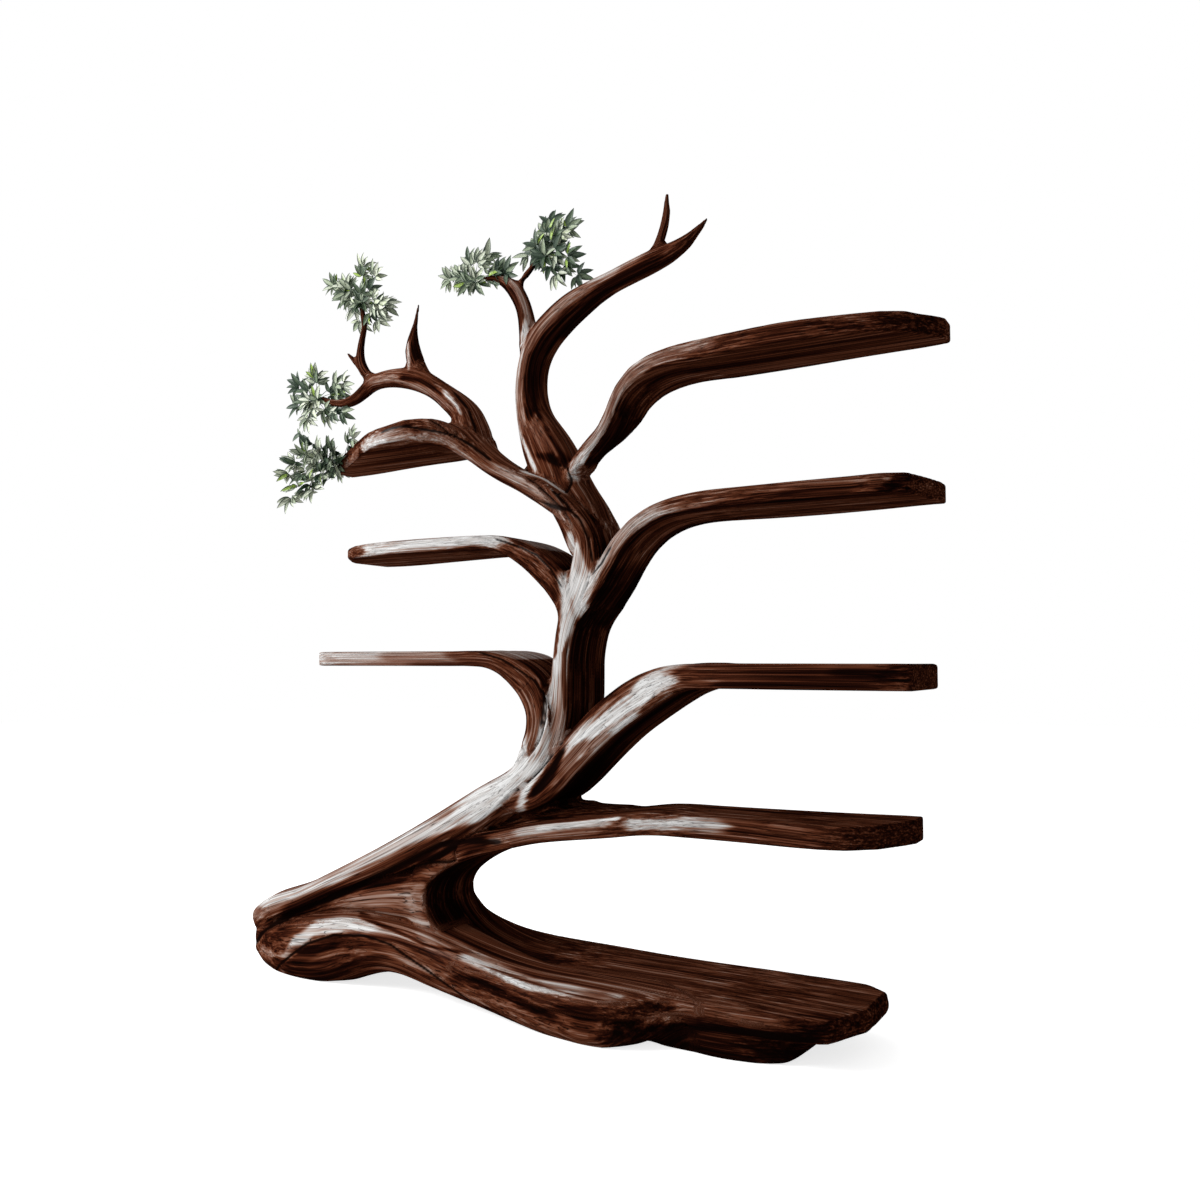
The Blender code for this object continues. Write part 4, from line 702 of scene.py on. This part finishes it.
def piece_of(name, points, faces, fields, normals, chosen):
    """A closed object from the chosen faces, its cut ends filled."""
    used = np.unique(faces[chosen])
    place = np.full(len(points), -1)
    place[used] = np.arange(len(used))
    bm = bmesh.new()
    made = [bm.verts.new(point) for point in points[used].tolist()]
    for face in place[faces[chosen]].tolist():
        bm.faces.new([made[i] for i in face])
    rim = [edge for edge in bm.edges if edge.is_boundary]
    bmesh.ops.holes_fill(bm, edges=rim, sides=0)
    bmesh.ops.triangulate(bm, faces=[face for face in bm.faces if len(face.verts) > 4])
    mesh = mesh_from(name, bm)
    for field, values in fields.items():
        kind = "FLOAT_VECTOR" if values.ndim == 2 else "FLOAT"
        attribute = mesh.attributes.new(field, kind, "POINT")
        key = "vector" if values.ndim == 2 else "value"
        attribute.data.foreach_set(key, values[used].astype(np.float32).ravel())
    mesh.shade_smooth()
    corners = np.zeros((len(mesh.loops), 3), np.float32)
    index = np.empty(len(mesh.loops), int)
    mesh.loops.foreach_get("vertex_index", index)
    corners[:] = normals[used][index]
    corners[4 * len(chosen):] = 0.0
    mesh.normals_split_custom_set(corners.tolist())
    return in_scene(name, mesh)


def carved_wood(nodes, material):
    """All wooden pieces, each in the place of its blank."""
    points, faces = merged_skin(nodes)
    edges = edges_of(faces)
    owner, names = owners(points[faces].mean(axis=1).tolist(), nodes)
    owner = settle(owner, faces, len(points))
    board_faces = np.array([name.startswith("shelf") for name in names])[owner].astype(float)
    touch = np.bincount(faces.ravel(), minlength=len(points))
    weight = sum(np.bincount(faces[:, corner], board_faces, len(points)) for corner in range(4))
    board = weight / np.maximum(touch, 1)
    even = np.ones(len(edges))
    for _ in range(12):
        board = 0.5 * board + 0.5 * spread(board[:, None], edges, even)[:, 0]

    everywhere = np.ones(len(points))
    points = relax(points, edges, everywhere, 4, keep=0.1, strength=0.5)
    fields = strand_fields(points, point_normals(points, faces))
    ease = (1 - 0.9 * board) * np.clip(fields["thick"] / USUAL_HALF, 0.12, 1.0)
    points = relax(points, edges, ease, 40)
    fields = strand_fields(points, point_normals(points, faces))
    points = flow(points, edges, fields, 36)
    points, relief, seam = carve(points, faces, board)
    points = relax(points, edges, everywhere, 1, keep=0.1, strength=0.4)
    points[:, 2] = np.maximum(points[:, 2], 0.0)
    normals = point_normals(points, faces)
    grain = strand_fields(points, normals)["grain"]
    # relief and seam carry painted shade in grooves and creases; tone also carries painted shade and sheen
    fields = {"grain": grain, "relief": relief, "seam": seam, "tone": tone_and_painted_light_at(points, normals, grain)}
    for number, name in enumerate(names):
        chosen = np.nonzero(owner == number)[0]
        piece = piece_of("carved_" + name, points, faces, fields, normals, chosen)
        piece.data.materials.append(material)
        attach(piece, "root")
        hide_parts(name)


class Nodes:
    """Short calls that add shader nodes to a material."""

    def __init__(self, name):
        self.material = bpy.data.materials.new(name)
        self.material.use_nodes = True
        self.tree = self.material.node_tree
        self.shader = self.tree.nodes["Principled BSDF"]

    def add(self, kind, output=0, inputs=(), **settings):
        node = self.tree.nodes.new(kind)
        for key, value in settings.items():
            setattr(node, key, value)
        for key, value in dict(inputs).items():
            if isinstance(value, bpy.types.NodeSocket):
                self.tree.links.new(value, node.inputs[key])
            else:
                node.inputs[key].default_value = value
        return node.outputs[output]

    def attribute(self, name, output="Fac"):
        return self.add("ShaderNodeAttribute", output, attribute_name=name)

    def math(self, operation, *values, clamp=False):
        return self.add("ShaderNodeMath", 0, dict(enumerate(values)), operation=operation, use_clamp=clamp)

    def stretch(self, vector, scales):
        inputs = {0: vector, 1: scales}
        return self.add("ShaderNodeVectorMath", 0, inputs, operation="MULTIPLY")

    def noise(self, vector, scale=1.0, detail=3.0, roughness=0.55):
        inputs = {"Vector": vector, "Scale": scale, "Detail": detail, "Roughness": roughness}
        return self.add("ShaderNodeTexNoise", "Fac", inputs)

    def ramp(self, factor, *stops, blend="LINEAR"):
        """Maps a factor through stops of position and value or colour."""
        node = self.tree.nodes.new("ShaderNodeValToRGB")
        ramp = node.color_ramp
        ramp.interpolation = blend
        while len(ramp.elements) < len(stops):
            ramp.elements.new(0.5)
        for element, (position, value) in zip(ramp.elements, stops):
            element.position = position
            element.color = (*value, 1) if isinstance(value, tuple) else (value, value, value, 1)
        self.tree.links.new(factor, node.inputs["Fac"])
        return node.outputs["Color"]

    def mix(self, factor, first, second, blend="MIX"):
        node = self.tree.nodes.new("ShaderNodeMix")
        node.data_type = "RGBA"
        node.blend_type = blend
        for socket, value in ((node.inputs[0], factor), (node.inputs[6], first), (node.inputs[7], second)):
            if isinstance(value, bpy.types.NodeSocket):
                self.tree.links.new(value, socket)
            else:
                socket.default_value = (*value, 1) if isinstance(value, tuple) else value
        return node.outputs[2]

    def bump(self, height, strength, distance):
        normal = self.add("ShaderNodeBump", 0, {"Height": height, "Strength": strength, "Distance": distance})
        self.tree.links.new(normal, self.shader.inputs["Normal"])

    def set(self, **values):
        for key, value in values.items():
            socket = self.shader.inputs[key.replace("_", " ")]
            if isinstance(value, bpy.types.NodeSocket):
                self.tree.links.new(value, socket)
            else:
                socket.default_value = value


def wood_material():
    """Oiled dark walnut with red brown streaks and black lines, a painted silver sheen where the tone is
    high.
    """
    m = Nodes("carved_walnut")
    grain = m.attribute("grain", "Vector")
    broad = m.noise(m.stretch(grain, (1.2, 34, 30)), detail=3)
    streaks = m.noise(m.stretch(grain, (1.5, 130, 120)), detail=2, roughness=0.5)
    other = m.noise(m.stretch(grain, (1.5, 170, 160)), detail=1)
    hair = m.noise(m.stretch(grain, (2.6, 420, 400)), detail=2)
    tone = m.attribute("tone")
    sway = 0.0
    for field, share in ((broad, 0.42), (streaks, 0.90), (hair, 0.60)):
        sway = m.math("MULTIPLY_ADD", m.math("SUBTRACT", field, 0.5), share, sway)
    reach = m.ramp(tone, (0.0, 0.5), (0.18, 0.9), (0.38, 1.0), (0.55, 0.75), (0.80, 0.90), (1.0, 0.75))
    value = m.math("ADD", tone, m.math("MULTIPLY", sway, reach))
    # Painted shade: darker where the relief is low, in the grooves
    low = m.math("MULTIPLY", m.attribute("relief"), -1.0, clamp=True)
    value = m.math("SUBTRACT", value, m.math("MULTIPLY", low, 0.30))
    # The silver at the top of the ramp is painted sheen
    colour = m.ramp(
        value,
        (0.00, (0.0030, 0.0012, 0.0009)),
        (0.14, (0.0110, 0.0026, 0.0015)),
        (0.26, (0.0340, 0.0080, 0.0038)),
        (0.38, (0.0900, 0.0250, 0.0110)),
        (0.48, (0.1450, 0.0520, 0.0280)),
        (0.58, (0.2250, 0.1200, 0.0850)),
        (0.70, (0.3500, 0.2650, 0.2300)),
        (0.84, (0.5000, 0.4750, 0.4600)),
        (1.00, (0.6800, 0.6750, 0.6700)),
    )
    lines = m.ramp(m.math("ABSOLUTE", m.math("SUBTRACT", streaks, 0.5)), (0.004, 1.0), (0.016, 0.0))
    thin = m.ramp(m.math("ABSOLUTE", m.math("SUBTRACT", other, 0.53)), (0.003, 1.0), (0.013, 0.0))
    pores = m.ramp(hair, (0.30, 1.0), (0.42, 0.0))
    # Grain lines a little fainter under the painted silver sheen
    sheen_fade = m.ramp(tone, (0.55, 1.0), (0.95, 0.80))
    lines_and_crease_shade = m.math("MAXIMUM", m.math("MULTIPLY", lines, 0.90), m.math("MULTIPLY", thin, 0.80))
    lines_and_crease_shade = m.math("MAXIMUM", lines_and_crease_shade, m.math("MULTIPLY", pores, 0.35))
    lines_and_crease_shade = m.math("MULTIPLY", lines_and_crease_shade, sheen_fade)
    # Painted shade: near black along the creases
    lines_and_crease_shade = m.math("MAXIMUM", lines_and_crease_shade, m.ramp(m.attribute("seam"), (0.30, 0.0), (0.90, 0.97)))
    colour = m.mix(lines_and_crease_shade, colour, (0.0040, 0.0016, 0.0012))
    rough = m.math("MULTIPLY_ADD", hair, 0.25, 0.40)
    height = m.math("ADD", m.math("MULTIPLY", streaks, 0.6), m.math("MULTIPLY", hair, 0.4))
    height = m.math("SUBTRACT", height, m.math("MULTIPLY", lines_and_crease_shade, 0.35))
    m.bump(height, 0.6, 0.0016)
    sheen = m.ramp(tone, (0.44, 0.0), (0.65, 0.12), (1.0, 0.2))
    m.set(Base_Color=colour, Roughness=rough, Specular_IOR_Level=sheen)
    return m.material


def beech_material():
    """Pale turned beech, for the dowels and tenons."""
    m = Nodes("beech")
    place = m.add("ShaderNodeTexCoord", "Object")
    streaks = m.noise(m.stretch(place, (60, 220, 220)), detail=3)
    colour = m.ramp(streaks, (0.35, (0.36, 0.22, 0.12)), (0.65, (0.52, 0.36, 0.21)))
    m.bump(streaks, 0.3, 0.0004)
    m.set(Base_Color=colour, Roughness=0.6)
    return m.material


def leaf_material():
    """Sage leaves with dark rims and a few bright ones."""
    m = Nodes("sage_leaf")
    rim = m.attribute("rim")
    tint = m.attribute("tint")
    place = m.add("ShaderNodeTexCoord", "Object")
    mottle = m.noise(place, 240.0, detail=3)
    tone = m.math("ADD", tint, m.math("MULTIPLY", m.math("SUBTRACT", mottle, 0.5), 0.35))
    colour = m.ramp(
        tone,
        (0.05, (0.020, 0.046, 0.022)),
        (0.30, (0.080, 0.125, 0.065)),
        (0.50, (0.290, 0.350, 0.230)),
        (0.85, (0.680, 0.710, 0.590)),
        (1.00, (0.260, 0.400, 0.040)),
    )
    colour = m.mix(m.ramp(rim, (0.52, 0.0), (0.80, 0.92)), colour, (0.012, 0.034, 0.018))
    m.bump(mottle, 0.4, 0.0008)
    m.set(Base_Color=colour, Roughness=0.5)
    return m.material


def stage_material(name):
    """Pale ground that looks white to the camera and still takes a soft shadow."""
    m = Nodes(name)
    path = m.tree.nodes.new("ShaderNodeLightPath")
    seen = m.math("MAXIMUM", path.outputs["Is Camera Ray"], path.outputs["Is Glossy Ray"])
    glow = m.math("MULTIPLY", seen, 0.75)
    m.set(Base_Color=(0.80, 0.80, 0.80, 1), Roughness=0.9)
    m.set(Emission_Color=(1, 1, 1, 1), Emission_Strength=glow)
    return m.material


def leaflet(bm, layers, base, way, side, lift, length, width, tint):
    """One lance shaped leaflet, cupped along its middle vein and curled down at its tip."""
    previous = None
    for k in range(LEAF_ROWS + 1):
        t = k / LEAF_ROWS
        centre = base + way * length * t - lift * LEAF_CURL * length * t * t
        if 0 < k < LEAF_ROWS:
            half = width / 2 * math.sin(math.pi * t**0.75) ** 0.8
            cup = lift * half * LEAF_CUP
            spots = [centre - side * half + cup, centre - side * half * 0.5 + cup * 0.3, centre]
            spots += [centre + side * half * 0.5 + cup * 0.3, centre + side * half + cup]
            ring = [bm.verts.new(spot) for spot in spots]
        else:
            ring = [bm.verts.new(centre)] * 5
        for number, vertex in enumerate(ring):
            vertex[layers[0]] = tint
            vertex[layers[1]] = abs(number - 2) / 2
        if previous:
            for corners in zip(previous, previous[1:], ring[1:], ring):
                bm.faces.new(tuple(dict.fromkeys(corners)))
        previous = ring


# Leaf sprays: what holds each, the way that its end points, how deep the spray's middle is, seed and
# the middle of each tuft of leaves
SPRAYS = {
    "leaf_spray_left_top": ("twig_upright", (0, 0, 1), -30, 11, (
        (-696, 1838), (-816, 1800), (-650, 1804), (-620, 1728), (-630, 1702), (-781, 1768),
        (-744, 1720), (-642, 1672), (-720, 1680), (-705, 1769), (-772, 1797),
    )),
    "leaf_spray_left": ("twig_left", (-1, 0, 0), -50, 23, (
        (-853, 1568), (-930, 1552), (-940, 1486), (-777, 1518), (-881, 1426), (-799, 1440),
        (-734, 1522), (-925, 1400), (-897, 1492), (-750, 1445),
    )),
    "leaf_spray_crown_left": ("crown_branch_left", (-1, 0, 0), 0, 37, (
        (-456, 1774), (-388, 1818), (-318, 1816), (-399, 1735), (-280, 1757), (-347, 1786),
        (-426, 1790), (-250, 1745),
    )),
    "leaf_spray_crown": ("crown_twig", (1, 0, 1), 0, 41, (
        (-158, 1850), (-135, 1864), (-76, 1832), (-214, 1790), (-158, 1799), (-75, 1743), (-109, 1705),
        (-49, 1702), (-121, 1826), (-188, 1810), (-109, 1768),
    )),
    "leaf_spray_shelf": ("shelf_left_3", (-1, 0, 0), -70, 53, (
        (-700, 1374), (-939, 1332), (-859, 1342), (-771, 1308), (-945, 1294), (-871, 1262),
        (-919, 1218), (-792, 1360), (-817, 1287), (-860, 1377), (-900, 1250), (-838, 1307),
        (-908, 1318), (-815, 1348), (-895, 1290), (-840, 1240), (-785, 1332), (-902, 1360),
    )),
}
LEAF_LENGTH, LEAF_WIDTH, LEAF_ROWS = 0.042, 0.0150, 6
LEAF_CURL, LEAF_CUP = 0.18, 0.45
TUFT_DEPTH, TUFT_SPREAD = 0.035, 190
HEAD_TUFT_ANGLES = (40, 160, 280)
YOUNG_LEAF_SHARE = 0.05
STEM_RADIUS, HEAD_STEM_RADIUS, HEAD_REACH = 0.0011, 0.0014, 0.016
STEM_SIDES, STEM_TAPER = 5, 0.7
STEM_TINT, STEM_RIM = 0.2, 0.6
FRONT = Vector((0, -1, 0))


def frond_points(base, tip, bow):
    """A line from base to tip whose middle is bowed up, or down where the bow is below zero."""
    way = tip - base
    rise = Vector((0, 0, 1)) * bow * way.length
    return [base + way * t + rise * math.sin(math.pi * t) for t in (k / 10 for k in range(11))]


def stem(bm, layers, line, radius):
    """A thin closed tube along a line, tapering to its tip."""
    rings = []
    for k, point in enumerate(line):
        way = (line[min(k + 1, len(line) - 1)] - line[max(k - 1, 0)]).normalized()
        side = way.cross(Vector((0.3, 0.9, 0.2))).normalized()
        up = way.cross(side)
        size = radius * (1 - STEM_TAPER * k / (len(line) - 1))
        ring = []
        for n in range(STEM_SIDES):
            angle = 2 * math.pi * n / STEM_SIDES
            vertex = bm.verts.new(point + (side * math.cos(angle) + up * math.sin(angle)) * size)
            vertex[layers[0]], vertex[layers[1]] = STEM_TINT, STEM_RIM
            ring.append(vertex)
        rings.append(ring)
    for low, high in zip(rings, rings[1:]):
        for n in range(STEM_SIDES):
            bm.faces.new((low[n - 1], low[n], high[n], high[n - 1]))
    bm.faces.new(rings[0])
    bm.faces.new(list(reversed(rings[-1])))


def tuft(bm, layers, base, way, draw):
    """Leaves that fan out from one point, the longest of them ahead."""
    aside = way.cross(FRONT).normalized()
    shade = draw.choice((0.12, 0.30, 0.50, 0.68, 0.74))
    count = draw.randint(7, 10)
    for n in range(count):
        angle = math.radians(-TUFT_SPREAD / 2 + TUFT_SPREAD * (n + 0.5) / count + draw.uniform(-9, 9))
        along = way * math.cos(angle) + aside * math.sin(angle) + FRONT * draw.uniform(-0.5, 0.6)
        along.normalize()
        face = (FRONT + aside * draw.uniform(-0.5, 0.5) + way * draw.uniform(-0.5, 0.5)).normalized()
        across = along.cross(face).normalized()
        size = (0.70 + 0.30 * math.cos(angle)) * draw.uniform(0.85, 1.15)
        young = draw.random() < YOUNG_LEAF_SHARE
        tint = 1.0 if young else min(max(shade + draw.uniform(-0.22, 0.22), 0.0), 0.88)
        start = base + aside * 0.004 * math.sin(angle)
        length, width = LEAF_LENGTH * size, LEAF_WIDTH * size
        leaflet(bm, layers, start, along, across, across.cross(along), length, width, tint)


def leaf_spray(name, node, root, head, depth, seed, tufts, material):
    """Tufts of leaves on thin stems that fan out from the head of the spray's own stem."""
    draw = random.Random(seed)
    bm = bmesh.new()
    layers = bm.verts.layers.float.new("tint"), bm.verts.layers.float.new("rim")
    stem(bm, layers, [root + (head - root) * (k / 4) for k in range(5)], HEAD_STEM_RADIUS)
    for angle in map(math.radians, HEAD_TUFT_ANGLES):
        way = Vector((math.cos(angle), -0.4, math.sin(angle))).normalized()
        tuft(bm, layers, head, way, draw)
    for x, z in tufts:
        away = draw.uniform(-TUFT_DEPTH, TUFT_DEPTH)
        slide = away * math.tan(CAMERA_AZIMUTH)
        middle = Vector((x * MM + SHIFT_X - slide, depth * MM + SHIFT_Y + away, z * MM))
        way = (middle - head).normalized()
        base = middle - way * 0.4 * LEAF_LENGTH
        line = frond_points(head, base, draw.uniform(-0.05, 0.10))
        stem(bm, layers, line, STEM_RADIUS)
        tuft(bm, layers, base, (way + Vector((0, 0, draw.uniform(-0.25, 0.25)))).normalized(), draw)
        if (base - head).length > 0.05:
            tuft(bm, layers, line[draw.randint(5, 7)], way, draw)
    mesh = mesh_from(name, bm)
    mesh.shade_smooth()
    obj = in_scene(name, mesh)
    mesh.materials.append(material)
    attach(obj, "root")
    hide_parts(node)


def stem_ends(spray, holder, way):
    """The root and the head of a spray's stem: the root is the end of what holds it."""
    way = Vector(way)
    points = [vertex.co for vertex in holder.data.vertices]
    reach = max(point.dot(way) for point in points)
    end = [point for point in points if point.dot(way) > reach - 0.004]
    root = sum(end, Vector()) / len(end)
    low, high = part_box(spray)
    return root, root + ((low + high) / 2 - root).normalized() * HEAD_REACH


def make_stage():
    """A plain pale floor."""
    material = stage_material("pale_ground")
    bpy.ops.mesh.primitive_plane_add(size=FLOOR_SIDE, location=(0, 0, -FLOOR_DROP))
    floor = bpy.context.object
    floor.name = "floor"
    floor.data.materials.append(material)


def make_lights():
    """A broad soft light from the front left, a weak fill from the front and an even pale surround."""
    world = bpy.data.worlds.new("surround")
    world.use_nodes = True
    bpy.context.scene.world = world
    tree = world.node_tree
    back = tree.nodes["Background"]
    path = tree.nodes.new("ShaderNodeLightPath")
    mix = tree.nodes.new("ShaderNodeMix")
    mix.inputs[2].default_value = 0.38
    mix.inputs[3].default_value = 1.0
    tree.links.new(path.outputs["Is Camera Ray"], mix.inputs[0])
    tree.links.new(mix.outputs[0], back.inputs["Strength"])
    back.inputs["Color"].default_value = (1, 1, 1, 1)
    for name, place, size, power in (
        ("key", (-2.8, -2.4, 2.4), 1.6, 150),
        ("fill", (1.0, -3.4, 1.2), 2.5, 14),
        ("top", (-0.4, -0.2, 3.6), 2.0, 24),
    ):
        data = bpy.data.lights.new(name, "AREA")
        data.size = size
        data.energy = power
        lamp = in_scene(name, data)
        lamp.location = place
        lamp.rotation_euler = (LIGHT_AIM - Vector(place)).to_track_quat("-Z", "Y").to_euler()


def make_camera():
    """The camera at the photograph's place, level across and turned a little up."""
    data = bpy.data.cameras.new("camera")
    data.sensor_width = SENSOR_WIDTH
    data.lens = SENSOR_WIDTH * FOCAL_PIXELS / PHOTO_SIDE
    camera = in_scene("camera", data)
    across, away = math.sin(CAMERA_AZIMUTH), math.cos(CAMERA_AZIMUTH)
    camera.location = (SHIFT_X + CAMERA_DISTANCE * across, SHIFT_Y - CAMERA_DISTANCE * away, CAMERA_HEIGHT)
    pitch = math.atan(HORIZON_DROP_PIXELS / FOCAL_PIXELS)
    camera.rotation_euler = (math.pi / 2 + pitch, 0, CAMERA_AZIMUTH)
    bpy.context.scene.camera = camera


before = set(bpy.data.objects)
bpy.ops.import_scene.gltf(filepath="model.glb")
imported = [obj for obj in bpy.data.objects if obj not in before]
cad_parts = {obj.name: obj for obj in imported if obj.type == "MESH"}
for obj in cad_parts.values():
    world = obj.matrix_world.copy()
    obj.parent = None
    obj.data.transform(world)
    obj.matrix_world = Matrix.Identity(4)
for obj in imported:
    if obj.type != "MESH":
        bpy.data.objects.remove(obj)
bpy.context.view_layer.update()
SHIFT_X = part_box("base_slab")[1].x - TRUNK_TO_BASE_END
SHIFT_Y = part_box("shelf_right_2")[0].y - SHELF_FRONT

carved_wood(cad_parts, wood_material())
beech = beech_material()
for node_name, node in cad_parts.items():
    if node_name.startswith(PIN_PREFIXES):
        node.data.materials.clear()
        node.data.materials.append(beech)
leaves = leaf_material()
for spray_name, (holder_name, end_way, *spray_form) in SPRAYS.items():
    ends = stem_ends(spray_name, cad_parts[holder_name], end_way)
    leaf_spray("leaves_" + spray_name, spray_name, *ends, *spray_form, leaves)

make_stage()
make_lights()
make_camera()
bpy.context.scene.view_settings.view_transform = "Standard"
